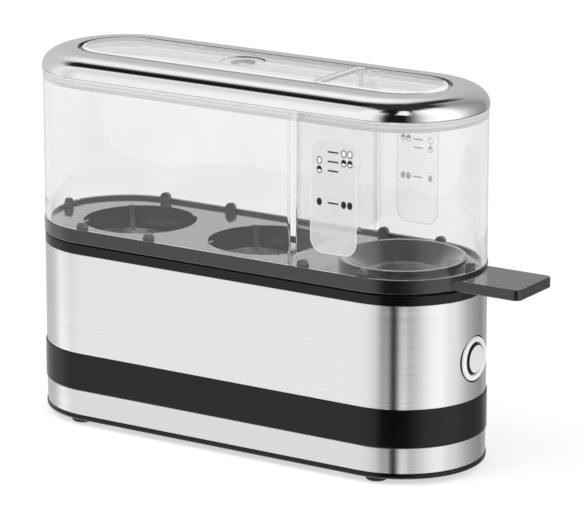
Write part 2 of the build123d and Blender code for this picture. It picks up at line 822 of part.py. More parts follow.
# Levels and radii of the egg tray
floor_top_z = hood_z - tray_floor_drop
floor_z = floor_top_z - tray_floor_thickness
rim_inner_r = tray_r - tray_rim_wall
rim_mid_r = tray_r - tray_rim_wall / 2
tray_foot_r = collar_inner_r + tray_foot_inset
seat_z = floor_top_z - seat_depth
fin_outer_r = seat_r + seat_wall / 2
fin_top_r = seat_r - fin_top_reach
fin_bottom_r = seat_r - fin_bottom_reach
bowl_top_z = floor_top_z + bowl_rise
bowl_floor_z = bowl_top_z - bowl_depth
lug_r = hood_inner_r - lid_clearance
handle_root_x = end_x + sqrt(rim_mid_r**2 - (handle_width / 2) ** 2)
handle_end_x = end_x + body_r + handle_reach

# Handle of the egg tray: a flat tongue with rounded corners and edges, rooted in the middle of the rim
with BuildPart() as tray_handle:
    with BuildSketch(Plane.XY.offset(floor_top_z - handle_thickness)):
        with Locations((handle_end_x, 0)):
            Rectangle(handle_end_x - handle_root_x, handle_width, align=(Align.MAX, Align.CENTER))
    extrude(amount=handle_thickness)
    fillet(tray_handle.edges().filter_by(Axis.Z).group_by(Axis.X)[-1], handle_corner)
    fillet(tray_handle.faces().filter_by(Axis.Z).edges(), handle_edge)

# Egg tray: one moulding with a rim, a floor, finned egg seats, a bowl, lugs inside the hood and the handle
with BuildPart() as egg_tray:
    with BuildSketch(Plane.XY.offset(rim_z)):
        stadium(tray_r)
        stadium(rim_inner_r, mode=Mode.SUBTRACT)
    extrude(amount=tray_rim_height)
    fillet(egg_tray.faces().filter_by(Axis.Z).edges(), tray_rim_edge)
    with BuildSketch(Plane.XY.offset(floor_z)):
        stadium(rim_mid_r)
    extrude(amount=tray_floor_thickness)
    with BuildSketch(Plane.XY.offset(tray_z)):
        stadium(tray_foot_r + tray_foot_width)
        stadium(tray_foot_r, mode=Mode.SUBTRACT)
    extrude(amount=floor_z - tray_z)
    add(tray_handle.part)
    with BuildSketch(Plane.XY.offset(seat_z)):
        with Locations(*[(x, 0) for x in seat_places]):
            Circle(seat_outer_r)
    extrude(amount=seat_depth)
    with BuildSketch(Plane.XY.offset(seat_z)):
        with Locations(*[(x, 0) for x in seat_places]):
            Circle(seat_r)
    extrude(amount=seat_depth, mode=Mode.SUBTRACT)
    for seat_x in seat_places:
        for angle in fin_angles:
            with BuildSketch(radial_plane(seat_x, angle)):
                with BuildLine():
                    Polyline(
                        (fin_outer_r, seat_z),
                        (fin_outer_r, floor_top_z),
                        (fin_top_r, floor_top_z + fin_rise),
                        (fin_bottom_r, seat_z),
                        close=True,
                    )
                make_face()
            extrude(amount=fin_thickness / 2, both=True)
    with BuildSketch(Plane.XY.offset(floor_z)):
        with Locations((bowl_x, 0)):
            Circle(bowl_r + bowl_rim / 2)
    extrude(amount=tray_floor_thickness, mode=Mode.SUBTRACT)
    with BuildSketch(radial_plane(bowl_x, 0)) as bowl_section:
        with BuildLine():
            Polyline(
                (0, bowl_floor_z),
                (bowl_floor_r, bowl_floor_z),
                (bowl_r, bowl_top_z),
                (bowl_outer_r, bowl_top_z),
                (bowl_outer_r, floor_z),
                (bowl_floor_r + bowl_sheet, bowl_floor_z - bowl_sheet),
                (0, bowl_floor_z - bowl_sheet),
                close=True,
            )
        make_face()
        fillet(bowl_section.vertices().sort_by_distance((bowl_floor_r, bowl_floor_z))[0], bowl_blend)
    revolve(axis=Axis((bowl_x, 0, 0), (0, 0, 1)))
    for plane, reach, places in ((Plane.XZ, lug_r, lug_places), (Plane.YZ, end_x + lug_r, (0,))):
        for side in (-1, 1):
            with BuildSketch(plane.offset(side * reach)):
                with Locations(*[(place, floor_top_z) for place in places]):
                    Rectangle(lug_width, lug_height - lug_width / 2, align=standing)
                with Locations(*[(place, floor_top_z + lug_height - lug_width / 2) for place in places]):
                    Circle(lug_width / 2)
            extrude(amount=-side * lug_wall)
save(egg_tray, "egg_tray")

# Inside of the hood: a wide hollow, a step under the ring, a rounded roof and the hollow of the raised
# panel. The partition divides it, ends above the tray with a rounded foot, and has ribs down to the rim
shoulder_r = ring_r - ring_wall - slip_clearance
shoulder_top_z = top_z - ring_wall
hood_ledge_z = ring_z - hood_ledge_drop
roof_z = shoulder_top_z - hood_roof
panel_top_z = top_z + panel_proud
panel_roof_z = panel_top_z - hood_roof
partition_z = hood_z + partition_foot
with BuildPart() as partition:
    with BuildSketch(Plane.XZ.offset(-body_r)) as partition_section:
        with Locations((partition_x, partition_z)):
            Rectangle(partition_wall, panel_roof_z - partition_z, align=standing)
        fillet(partition_section.vertices().group_by(Axis.Y)[0], partition_edge)
    extrude(amount=body_width)

with BuildPart() as hood_hollow:
    with BuildSketch(Plane.XY.offset(hood_z)):
        stadium(hood_inner_r - hood_step)
    extrude(amount=roof_z - hood_z)
    fillet(hood_hollow.edges().group_by(Axis.Z)[-1], roof_round)
    with BuildSketch(Plane.XY.offset(hood_z)):
        stadium(hood_inner_r)
    extrude(amount=hood_ledge_z - hood_z)
    with BuildSketch(Plane.XY.offset(hood_z)):
        stadium(panel_half_width - hood_wall)
    extrude(amount=panel_roof_z - hood_z)
    add(partition.part, mode=Mode.SUBTRACT)
    partition_corners = hood_hollow.edges().filter_by(Axis.Z).filter_by(
        lambda edge: abs(abs(edge.center().X - partition_x) - partition_wall / 2) < slip_clearance
    )
    fillet(partition_corners, partition_blend)
    with BuildSketch(Plane.XY.offset(hood_z)):
        with Locations(*[(partition_x, side * hood_inner_r) for side in (-1, 1)]):
            Rectangle(partition_wall, 2 * partition_blend)
    extrude(amount=partition_foot + partition_edge, mode=Mode.SUBTRACT)

# Clear hood: one moulding, with a shoulder for the ring, a raised panel and a steam vent
with BuildPart() as hood:
    with BuildSketch(Plane.XY.offset(ring_z)):
        stadium(shoulder_r)
    extrude(amount=shoulder_top_z - ring_z)
    fillet(hood.edges().group_by(Axis.Z)[-1], shoulder_round)
    with BuildSketch(Plane.XY.offset(hood_z)):
        stadium(hood_r)
    extrude(amount=hood_wall_height)
    fillet(hood.edges().group_by(Axis.Z)[0], hood_edge)
    with BuildSketch(Plane.XY.offset(roof_z)):
        stadium(panel_half_width)
    extrude(amount=panel_top_z - roof_z)
    fillet(hood.edges().group_by(Axis.Z)[-1], panel_edge)
    add(hood_hollow.part, mode=Mode.SUBTRACT)
    with BuildSketch(Plane.XY.offset(roof_z)):
        with Locations((vent_x, 0)):
            Circle(vent_r)
    extrude(amount=panel_top_z - roof_z, mode=Mode.SUBTRACT)
    with BuildSketch(Plane.XY.offset(panel_top_z - vent_ring_depth)):
        with Locations((vent_x, 0)):
            Circle(vent_ring_r)
    extrude(amount=vent_ring_depth, mode=Mode.SUBTRACT)
save(hood, "hood")


def ring_section():
    """Half of the ring's outer section: a soft foot, a short lip, a quarter of an ellipse and a flat top."""
    flat_r = ring_r - ring_round_width
    sole_r = ring_r - ring_foot_round
    sole_z = ring_z + ring_foot_round
    lip_z = ring_z + ring_lip
    Polyline((flat_r, top_z), (0, top_z), (0, ring_z), (sole_r, ring_z))
    CenterArc((sole_r, sole_z), ring_foot_round, -quarter_turn, quarter_turn)
    Line((ring_r, sole_z), (ring_r, lip_z))
    EllipticalCenterArc(
        (flat_r, lip_z),
        ring_round_width,
        ring_height - ring_lip,
        start_angle=0,
        arc_size=quarter_turn,
    )


# Space inside the ring: the hood's shoulder with a slip clearance
with BuildPart() as ring_hollow:
    with BuildSketch(Plane.XY.offset(ring_z)):
        stadium(shoulder_r + slip_clearance)
    extrude(amount=shoulder_top_z - ring_z)
    fillet(ring_hollow.edges().group_by(Axis.Z)[-1], shoulder_round)
    with BuildSketch(Plane.XY.offset(ring_z)):
        stadium(ring_opening_r)
    extrude(amount=ring_height)

# Plated ring: the section drawn straight along both sides and turned round both ends
with BuildPart() as chrome_ring:
    with BuildSketch(Plane.YZ.offset(-end_x)):
        with BuildLine():
            ring_section()
        make_face()
        mirror(about=Plane.YZ)
    extrude(amount=end_spacing)
    for side in (-1, 1):
        with BuildSketch(Plane.YZ.offset(side * end_x)):
            with BuildLine():
                ring_section()
            make_face()
        revolve(axis=Axis((side * end_x, 0, 0), (0, 0, 1)))
    add(ring_hollow.part, mode=Mode.SUBTRACT)
save(chrome_ring, "chrome_ring")
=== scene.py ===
# %% [markdown]
# A small steam cooker: a brushed steel base with a black band, a black tray with a flat handle, and a clear
# hood under a broad plated ring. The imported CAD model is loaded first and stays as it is, so every shape
# below is placed on it. All values are in metres, in the same frame: the handle points to +X, and the front
# faces -Y.

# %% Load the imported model
from math import cos, pi, radians, sin

import bpy
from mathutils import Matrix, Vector


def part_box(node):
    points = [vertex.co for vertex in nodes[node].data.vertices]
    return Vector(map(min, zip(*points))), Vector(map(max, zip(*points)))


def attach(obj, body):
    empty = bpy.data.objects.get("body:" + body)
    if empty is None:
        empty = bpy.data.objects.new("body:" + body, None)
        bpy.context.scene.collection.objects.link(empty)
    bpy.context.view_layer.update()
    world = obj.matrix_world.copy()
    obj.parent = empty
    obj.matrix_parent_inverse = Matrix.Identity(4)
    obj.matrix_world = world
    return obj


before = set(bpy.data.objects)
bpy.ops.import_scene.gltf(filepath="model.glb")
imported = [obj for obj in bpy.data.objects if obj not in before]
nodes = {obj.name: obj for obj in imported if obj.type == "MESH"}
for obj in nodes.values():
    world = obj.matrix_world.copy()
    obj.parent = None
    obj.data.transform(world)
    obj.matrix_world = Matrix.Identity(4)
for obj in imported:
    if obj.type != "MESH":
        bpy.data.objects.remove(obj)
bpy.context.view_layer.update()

MM = 0.001

# %% [markdown]
# The camera comes first, because every later choice is judged through it. A long lens from 1.4 metres away
# keeps the upright edges of the cooker nearly parallel. It looks down a little on the right front corner. A
# direction is given by two angles, its turn round the cooker and its tilt above the table, because that is
# how a photographer would describe it.

# %% Camera
VIEW_TURN = radians(32.723)
VIEW_TILT = radians(15.061)
VIEW_DISTANCE = 1.370
VIEW_TARGET = Vector((0.01322, 0.0, 0.06735))
LENS = 233.6
SENSOR_WIDTH = 36.0


def way_to(turn_to, tilt_to):
    return Vector((sin(turn_to) * cos(tilt_to), -cos(turn_to) * cos(tilt_to), sin(tilt_to)))


towards_camera = way_to(VIEW_TURN, VIEW_TILT)
lens_data = bpy.data.cameras.new("view")
lens_data.lens = LENS
lens_data.sensor_width = SENSOR_WIDTH
lens_data.sensor_fit = "HORIZONTAL"
camera = bpy.data.objects.new("view", lens_data)
camera.location = VIEW_TARGET + VIEW_DISTANCE * towards_camera
camera.rotation_euler = towards_camera.to_track_quat("Z", "Y").to_euler()
bpy.context.scene.collection.objects.link(camera)
bpy.context.scene.camera = camera
bpy.context.scene.view_settings.view_transform = "Standard"
print("camera at", [round(v, 3) for v in camera.location])

# %% [markdown]
# Node trees read best when each node is one line. The first helper adds a node, sets its choices, and fills
# each input with a value or with another node's output. The others are the nodes that come up most often, so
# a finish below is a short list of steps.

# %% Helpers for node trees
def add(tree, kind, inputs=None, **choices):
    node = tree.nodes.new(kind)
    for name, value in choices.items():
        setattr(node, name, value)
    for name, value in (inputs or {}).items():
        if isinstance(value, bpy.types.NodeSocket):
            tree.links.new(value, node.inputs[name])
        else:
            node.inputs[name].default_value = value
    return node


def maths(tree, operation, first, second=0.0):
    return add(tree, "ShaderNodeMath", {0: first, 1: second}, operation=operation).outputs[0]


def both(tree, first, second):
    return maths(tree, "MULTIPLY", first, second)


def any_of(tree, first, second):
    return maths(tree, "MAXIMUM", first, second)


def band(tree, value, low, high):
    ranged = {"Value": value, "From Min": low, "From Max": high}
    return add(tree, "ShaderNodeMapRange", ranged, interpolation_type="SMOOTHSTEP").outputs["Result"]


def grey(level):
    return (level, level, level)


def mixed(tree, factor, first, second):
    pair = {"A": first, "B": second}
    colours = {name: (*value, 1.0) if isinstance(value, tuple) else value for name, value in pair.items()}
    return add(tree, "ShaderNodeMix", {"Factor": factor, **colours}, data_type="RGBA").outputs["Result"]


def either(tree, factor, first, second):
    return add(tree, "ShaderNodeMixShader", {0: factor, 1: first, 2: second}).outputs[0]


print("node helpers:", [helper.__name__ for helper in (add, maths, both, any_of, band, grey, mixed, either)])

# %% [markdown]
# Polished and brushed metal show the room more than themselves, so the room matters here. It is a ring of
# tall softboxes with a dark gap on the camera's side. The upright steel mirrors the low part of the ring as
# well as the high part, and the round plated ring mostly the high part, so each part has its own run of
# tones. A run is a list of turns in degrees with a tone for each, which a colour ramp joins.

# %% Tones of the studio ring
LOW_RING = [(-180, 0.75), (-117, 1.05), (-98, 1.50), (-80, 3.00), (-56, 1.95), (-36, 1.15), (-11, 0.90),
            (-1, 1.25), (5, 1.50), (11, 1.80), (15, 0.40), (17, 0.02), (21, 0.02), (23, 0.60), (29, 3.00),
            (35, 3.00), (42, 1.75), (61, 1.10), (88, 1.60), (103, 0.62), (114, 0.36), (124, 0.60),
            (144, 0.80), (180, 0.75)]
HIGH_RING = [(-180, 0.44), (-150, 0.54), (-120, 0.62), (-93, 0.66), (-74, 0.92), (-51, 0.74), (-32, 1.00),
             (-14, 0.96), (-5, 0.72), (4, 0.10), (10, 0.01), (32, 0.01), (40, 0.13), (48, 0.40), (62, 0.95),
             (74, 1.12), (108, 1.12), (118, 0.84), (131, 0.52), (147, 0.35), (166, 0.29), (180, 0.44)]
RING_STEP = (radians(-24), radians(-19))
FULL_TURN = 360


def ramp(tree, share, run):
    node = add(tree, "ShaderNodeValToRGB", {"Fac": share})
    marks = node.color_ramp.elements
    while len(marks) < len(run):
        marks.new(1.0)
    for mark, (degrees, tone) in zip(marks, run):
        mark.position = degrees / FULL_TURN + 0.5
        mark.color = (*grey(tone), 1.0)
    return node.outputs["Color"]


studio = bpy.data.worlds.new("studio")
bpy.context.scene.world = studio
studio.use_nodes = True
studio.cycles.sampling_method = "NONE"
room = studio.node_tree
room.nodes.clear()
direction = add(room, "ShaderNodeTexCoord").outputs["Generated"]
axes = add(room, "ShaderNodeSeparateXYZ", {0: direction}).outputs
turn = maths(room, "ARCTAN2", axes["X"], maths(room, "MULTIPLY", axes["Y"], -1.0))
tilt = maths(room, "ARCSINE", axes["Z"])
all_round = {"Value": turn, "From Min": -pi, "From Max": pi}
turn_share = add(room, "ShaderNodeMapRange", all_round).outputs["Result"]
low_walls = ramp(room, turn_share, LOW_RING)
high_walls = ramp(room, turn_share, HIGH_RING)
walls = mixed(room, band(room, tilt, *RING_STEP), low_walls, high_walls)
print("studio ring:", len(LOW_RING), "low and", len(HIGH_RING), "high tones")

# %% [markdown]
# A dark ceiling closes the ring. It hangs lower on the left and behind, and higher on the right, so three
# fields shift the height at which it starts. A field is a soft-edged patch of the room, given by its turns,
# its tilts and the width of its edge in degrees.

# %% Ceiling of the studio
CEILING_START = (radians(54), radians(70))
CEILING_TONE = 0.03
ALL_TILTS = (-120, 120)
CEILING_SHIFTS = [((-118, -76), 14.0, 21), ((-190, -158), 9.0, 21), ((52, 130), 10.0, -9)]


def soft_range(value, low, high, edge):
    rising = band(room, value, radians(low - edge), radians(low + edge))
    falling = band(room, value, radians(high + edge), radians(high - edge))
    return both(room, rising, falling)


def field(turns, tilts, edge):
    return both(room, soft_range(turn, *turns, edge), soft_range(tilt, *tilts, edge))


shifted_tilt = tilt
for turns, edge, shift in CEILING_SHIFTS:
    shifted_tilt = maths(room, "ADD", shifted_tilt, both(room, field(turns, ALL_TILTS, edge), radians(shift)))
ceiling = band(room, shifted_tilt, *CEILING_START)
studio_light = mixed(room, ceiling, walls, grey(CEILING_TONE))
print("ceiling shifted in", len(CEILING_SHIFTS), "places")

# %% [markdown]
# Four more fields hang high in the room. Two are black, and two are softboxes: one behind on the left, and
# one above the dark gap. They show in the plated ring, as black strips and as crisp highlights. Flags and
# softboxes do the same job in a real studio.

# %% Black fields and softboxes
STUDIO_FIELDS = [((-16, 12), (51, 80), 6.0, 0.01), ((-104, -82), (47, 64), 8.0, 0.008),
                 ((-154, -120), (35, 57), 13.0, 1.05), ((20, 41), (39, 70), 5.0, 1.05)]
for turns, tilts, edge, tone in STUDIO_FIELDS:
    studio_light = mixed(room, field(turns, tilts, edge), studio_light, grey(tone))
print("fields in the studio, with their tones:", [tone for turns, tilts, edge, tone in STUDIO_FIELDS])

# %% [markdown]
# Only glossy rays see this room. Plain surfaces get even soft light, so their colours come out as they are
# written, and the camera looks out on white. Rays that have passed through the clear hood see white too, and
# a greyer field overhead.

# %% Who sees what
EVEN_LIGHT = 0.86
OVERHEAD_TONE = 0.35
WHITE = (1.0, 1.0, 1.0, 1.0)


def light(colour, strength=1.0):
    return add(room, "ShaderNodeBackground", {"Color": colour, "Strength": strength}).outputs[0]


path = add(room, "ShaderNodeLightPath").outputs
past_hood = maths(room, "GREATER_THAN", path["Transmission Depth"], 0.5)
through = any_of(room, path["Is Transmission Ray"], past_hood)
through = both(room, through, maths(room, "SUBTRACT", 1.0, path["Is Diffuse Ray"]))
seen_through = mixed(room, ceiling, grey(1.0), grey(OVERHEAD_TONE))
lit = either(room, path["Is Glossy Ray"], light(WHITE, EVEN_LIGHT), light(studio_light))
lit = either(room, through, lit, light(seen_through))
lit = either(room, path["Is Camera Ray"], lit, light(WHITE))
add(room, "ShaderNodeOutputWorld", {"Surface": lit})
print("even light", EVEN_LIGHT, "for plain surfaces")

# %% [markdown]
# Two broad lamps give the even light a direction, so that steps and edges read. They are kept out of the
# reflections, which the studio already gives.

# %% Lamps
def lamp(name, turn_to, tilt_to, distance, size, power):
    data = bpy.data.lights.new(name, "AREA")
    data.size = size
    data.energy = power
    piece = bpy.data.objects.new(name, data)
    way = way_to(turn_to, tilt_to)
    piece.location = VIEW_TARGET + distance * way
    piece.rotation_euler = way.to_track_quat("Z", "Y").to_euler()
    piece.visible_glossy = False
    piece.visible_transmission = False
    bpy.context.scene.collection.objects.link(piece)
    return piece


lamps = [lamp("key", radians(-40), radians(52), distance=1.2, size=0.9, power=9.0),
         lamp("side", radians(80), radians(35), distance=1.2, size=0.8, power=5.0)]
print("lamps:", [(piece.name, piece.data.energy) for piece in lamps])

# %% [markdown]
# The floor is pale paint mixed with a white glow, so that it melts into the white behind it and still takes
# the cooker's soft shadow. Glossy rays pass through it, so the steel mirrors the studio all the way down.

# %% Floor
FLOOR_SIZE = 8.0
FLOOR_PAINT = (0.93, 0.93, 0.93, 1.0)
GLOW_SHARE = 0.62
bpy.ops.object.select_all(action="DESELECT")
bpy.ops.mesh.primitive_plane_add(size=FLOOR_SIZE, location=(0.0, 0.0, 0.0))
floor = bpy.context.object
floor.name = "floor"
table = bpy.data.materials.new("pale_table")
table.use_nodes = True
tree = table.node_tree
tree.nodes.clear()
paint = add(tree, "ShaderNodeBsdfDiffuse", {"Color": FLOOR_PAINT}).outputs[0]
glow = add(tree, "ShaderNodeEmission", {"Color": WHITE, "Strength": 1.0}).outputs[0]
hole = add(tree, "ShaderNodeBsdfTransparent").outputs[0]
glossy_ray = add(tree, "ShaderNodeLightPath").outputs["Is Glossy Ray"]
pale = either(tree, glossy_ray, either(tree, GLOW_SHARE, paint, glow), hole)
add(tree, "ShaderNodeOutputMaterial", {"Surface": pale})
floor.data.materials.append(table)
print("floor:", [round(v, 1) for v in floor.dimensions], "metres")

# %% [markdown]
# Most finishes share a few effects. Each is a node group, built once and placed in a material with its own
# values. They read Object coordinates, so they stay on the piece when it moves. The first two are noise: the
# fine grain that a mould leaves, and the wide faint smudges that come from handling.

# %% Shared effects: grain and smudges
GRAIN_TONES = (0.3, 0.7)
SMUDGE_EDGE = (0.38, 0.72)


def effect(name, inputs, outputs):
    group = bpy.data.node_groups.new(name, "ShaderNodeTree")
    for label, value in inputs.items():
        socket = group.interface.new_socket(label, in_out="INPUT", socket_type="NodeSocketFloat")
        socket.default_value = value
    for label in outputs:
        group.interface.new_socket(label, in_out="OUTPUT", socket_type="NodeSocketFloat")
    return group, group.nodes.new("NodeGroupInput").outputs, group.nodes.new("NodeGroupOutput")


def on_piece(tree):
    return add(tree, "ShaderNodeTexCoord").outputs["Object"]


grain, given, made = effect("moulded_grain", {"Scale": 2500.0}, ["Height", "Tone"])
noise = {"Vector": on_piece(grain), "Scale": given["Scale"], "Detail": 3.0}
fine = add(grain, "ShaderNodeTexNoise", noise).outputs["Fac"]
grain.links.new(fine, made.inputs["Height"])
grain.links.new(band(grain, fine, *GRAIN_TONES), made.inputs["Tone"])

smudge, given, made = effect("handling_smudge", {"Scale": 30.0}, ["Mask"])
noise = {"Vector": on_piece(smudge), "Scale": given["Scale"], "Detail": 5.0, "Roughness": 0.6,
         "Distortion": 0.8}
wide = add(smudge, "ShaderNodeTexNoise", noise).outputs["Fac"]
smudge.links.new(band(smudge, wide, *SMUDGE_EDGE), made.inputs["Mask"])
print("effects:", grain.name, smudge.name)

# %% [markdown]
# Edges that stick out are rubbed a little paler. A Bevel node gives the normal that a rounded edge would
# have. The further it leans away from the flat face's own normal, the nearer the edge is. Noise breaks the
# line, because wear is never even.

# %% Shared effect: edge wear
WEAR_LEAN = (0.02, 0.25)
WEAR_BREAK = (0.25, 0.6)
wear, given, made = effect("edge_wear", {"Radius": 0.0005, "Break": 900.0}, ["Mask"])
rounded = add(wear, "ShaderNodeBevel", {"Radius": given["Radius"]}, samples=4).outputs[0]
flat = add(wear, "ShaderNodeNewGeometry").outputs["Normal"]
agreement = add(wear, "ShaderNodeVectorMath", {0: rounded, 1: flat}, operation="DOT_PRODUCT").outputs["Value"]
near_edge = band(wear, maths(wear, "SUBTRACT", 1.0, agreement), *WEAR_LEAN)
noise = {"Vector": on_piece(wear), "Scale": given["Break"], "Detail": 2.0}
broken = add(wear, "ShaderNodeTexNoise", noise).outputs["Fac"]
wear.links.new(both(wear, near_edge, band(wear, broken, *WEAR_BREAK)), made.inputs["Mask"])
print("effect:", wear.name)

# %% [markdown]
# Brushing leaves long straight scratches. Noise that is stretched far along the body and squeezed in height
# gives such lines without any picture.

# %% Shared effect: brushed lines
brushing, given, made = effect("brushed_lines", {"Along": 5.0, "Across": 5200.0}, ["Lines"])
scales = {"X": given["Along"], "Y": given["Along"], "Z": given["Across"]}
stretch = add(brushing, "ShaderNodeCombineXYZ", scales).outputs[0]
drawn = add(brushing, "ShaderNodeVectorMath", {0: on_piece(brushing), 1: stretch}, operation="MULTIPLY")
lines = add(brushing, "ShaderNodeTexNoise", {"Vector": drawn.outputs[0], "Scale": 1.0, "Detail": 3.0})
brushing.links.new(lines.outputs["Fac"], made.inputs["Lines"])
print("effect:", brushing.name)

# %% [markdown]
# The body is a long shape with round ends, so its walls all lie at a set distance from a straight middle
# line. This effect measures that distance, and it also tells whether a face points outwards and up. With it,
# a finish can change at an edge that runs all the way round.

# %% Shared effect: distance from the middle line
END_X = 0.060
track, given, made = effect("track_distance", {"Half Run": END_X}, ["Distance", "Outward"])
place = add(track, "ShaderNodeSeparateXYZ", {0: on_piece(track)}).outputs
other_end = maths(track, "MULTIPLY", given["Half Run"], -1.0)
on_line = maths(track, "MAXIMUM", maths(track, "MINIMUM", place["X"], given["Half Run"]), other_end)
past_end = maths(track, "SUBTRACT", place["X"], on_line)
away = add(track, "ShaderNodeCombineXYZ", {"X": past_end, "Y": place["Y"]}).outputs[0]
distance = add(track, "ShaderNodeVectorMath", {0: away}, operation="LENGTH").outputs["Value"]
track.links.new(distance, made.inputs["Distance"])
lifted = add(track, "ShaderNodeVectorMath", {0: away}, operation="NORMALIZE").outputs[0]
lifted = add(track, "ShaderNodeVectorMath", {0: lifted, 1: (0.0, 0.0, 1.0)}, operation="ADD").outputs[0]
flat = add(track, "ShaderNodeNewGeometry").outputs["True Normal"]
outward = add(track, "ShaderNodeVectorMath", {0: flat, 1: lifted}, operation="DOT_PRODUCT").outputs["Value"]
track.links.new(outward, made.inputs["Outward"])
print("effect:", track.name, "with ends at", END_X / MM, "mm")

# %% [markdown]
# A finish starts as a material with a Principled shader and its output. Its colour runs between two tones
# that one effect mixes, its roughness between two values, and its grain goes through a Bump node. These
# helpers hold what all finishes repeat.

# %% Helpers for a finish
def finish_start(name):
    material = bpy.data.materials.new(name)
    material.use_nodes = True
    tree = material.node_tree
    tree.nodes.clear()
    shader = add(tree, "ShaderNodeBsdfPrincipled")
    add(tree, "ShaderNodeOutputMaterial", {"Surface": shader.outputs[0]})
    return material, tree, shader


def use(tree, group, **values):
    node = tree.nodes.new("ShaderNodeGroup")
    node.node_tree = group
    for name, value in values.items():
        node.inputs[name].default_value = value
    return node.outputs


def between(tree, mask, low, high):
    return add(tree, "ShaderNodeMapRange", {"Value": mask, "To Min": low, "To Max": high}).outputs["Result"]


def bump(tree, height, depth):
    relief = {"Height": height, "Distance": depth, "Strength": 1.0}
    return add(tree, "ShaderNodeBump", relief).outputs["Normal"]


def lighter(colour, share):
    return tuple(v + (1.0 - v) * share for v in colour)


def darker(colour, share):
    return tuple(v * (1.0 - share) for v in colour)


print("finish helpers:", [helper.__name__ for helper in (finish_start, use, between, bump, lighter, darker)])

# %% [markdown]
# The black parts are satin moulded plastic. It isn't an even black: the mould leaves a fine grain, hands
# leave faint patches of another gloss, and long edges polish to a slightly paler line. One function makes
# all moulded finishes, from the black band to the rubber feet, and only its values change.

# %% Moulded plastics and rubbers
GRAIN_DARK, GRAIN_LIGHT = 0.08, 0.003
HANDLING_SCALE = 38.0


def moulded(name, colour, low, high, gloss=0.5, grain_scale=2500.0, grain_depth=0.00001, edge_share=0.05):
    material, tree, shader = finish_start(name)
    texture = use(tree, grain, Scale=grain_scale)
    touched = use(tree, smudge, Scale=HANDLING_SCALE)["Mask"]
    worn = use(tree, wear)["Mask"]
    body = mixed(tree, texture["Tone"], darker(colour, GRAIN_DARK), lighter(colour, GRAIN_LIGHT))
    tree.links.new(mixed(tree, worn, body, lighter(colour, edge_share)), shader.inputs["Base Color"])
    tree.links.new(between(tree, touched, low, high), shader.inputs["Roughness"])
    tree.links.new(bump(tree, texture["Height"], grain_depth), shader.inputs["Normal"])
    shader.inputs["Specular IOR Level"].default_value = gloss
    return material


black_plastic = moulded("black_plastic", (0.0016, 0.0016, 0.0018), 0.07, 0.11, gloss=0.29,
                        grain_depth=0.000001, edge_share=0.02)
black_rubber = moulded("black_rubber", grey(0.022), 0.62, 0.78, gloss=0.3, grain_depth=0.00002)
silicone = moulded("silicone", (0.72, 0.71, 0.67), 0.5, 0.62, gloss=0.4)
switch_plastic = moulded("switch_plastic", grey(0.03), 0.4, 0.55)
terminal_white = moulded("terminal_white", (0.80, 0.80, 0.77), 0.35, 0.5)
red_insulation = moulded("red_insulation", (0.50, 0.035, 0.03), 0.34, 0.46)
blue_insulation = moulded("blue_insulation", (0.03, 0.12, 0.45), 0.34, 0.46)
print("moulded finishes:", black_plastic.name, black_rubber.name, silicone.name, switch_plastic.name,
      terminal_white.name, red_insulation.name, blue_insulation.name)

# %% [markdown]
# The tray changes over its surface. It is satin on its rim and handle, where hands hold it, and polished
# inside the hood, where it is wiped. Two materials would need a seam in the mesh, so a mask from the distance
# to the middle line mixes the two looks in one.

# %% Tray
TRAY_INSIDE = 0.0282
INSIDE_FADE = 0.0002
POLISH_SCALE = 70.0
POLISH = (0.06, 0.13)
GRAIN_SHARES = (0.3, 0.03)
tray_plastic = moulded("tray_plastic", (0.003, 0.003, 0.0033), 0.20, 0.28, gloss=0.3, edge_share=0.02)
tree = tray_plastic.node_tree
shader = tree.nodes["Principled BSDF"]
inside = band(tree, use(tree, track)["Distance"], TRAY_INSIDE + INSIDE_FADE, TRAY_INSIDE)
satin = shader.inputs["Roughness"].links[0].from_socket
polish = between(tree, use(tree, smudge, Scale=POLISH_SCALE)["Mask"], *POLISH)
gloss = add(tree, "ShaderNodeMix", {"Factor": inside, "A": satin, "B": polish}, data_type="FLOAT")
tree.links.new(gloss.outputs["Result"], shader.inputs["Roughness"])
shader.inputs["Coat Weight"].default_value = 1.0
shader.inputs["Coat Roughness"].default_value = 0.09
relief = tree.nodes["Bump"].inputs["Height"]
tree.links.new(both(tree, relief.links[0].from_socket, between(tree, inside, *GRAIN_SHARES)), relief)
print("tray polished within", TRAY_INSIDE / MM, "mm of its middle line")

# %% [markdown]
# The button's cap and its ring are pale in front and painted dark round their sides: painted shade for the
# gaps round them, which draws the two dark circles. On the cap a mask keeps a pale disc. On the ring the disc
# is wider, and everything that stands further out than its flank is pale too.

# %% Button cap and its ring
CAP_PALE, BEZEL_PALE = 0.0049, 0.00793
DISC_FADE = (0.00008, -0.00002)
BEZEL_FLANK, FLANK_FADE = 0.0010, 0.00005
PAINTED_GAP_SHADE = 0.006
cap_low, cap_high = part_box("button_cap")
button_height = (cap_low.z + cap_high.z) / 2


def paint_side_shade(material, radius, flank_x=None):
    tree = material.node_tree
    colour = tree.nodes["Principled BSDF"].inputs["Base Color"]
    place = add(tree, "ShaderNodeSeparateXYZ", {0: on_piece(tree)}).outputs
    rise = maths(tree, "SUBTRACT", place["Z"], button_height)
    squares = maths(tree, "ADD", both(tree, place["Y"], place["Y"]), both(tree, rise, rise))
    pale = band(tree, maths(tree, "SQRT", squares), *[radius + fade for fade in DISC_FADE])
    if flank_x is not None:
        pale = any_of(tree, pale, band(tree, place["X"], flank_x - FLANK_FADE, flank_x + FLANK_FADE))
    # the dark outside the pale disc is painted shade for the gap round the cap and round the ring
    tree.links.new(mixed(tree, pale, grey(PAINTED_GAP_SHADE), colour.links[0].from_socket), colour)


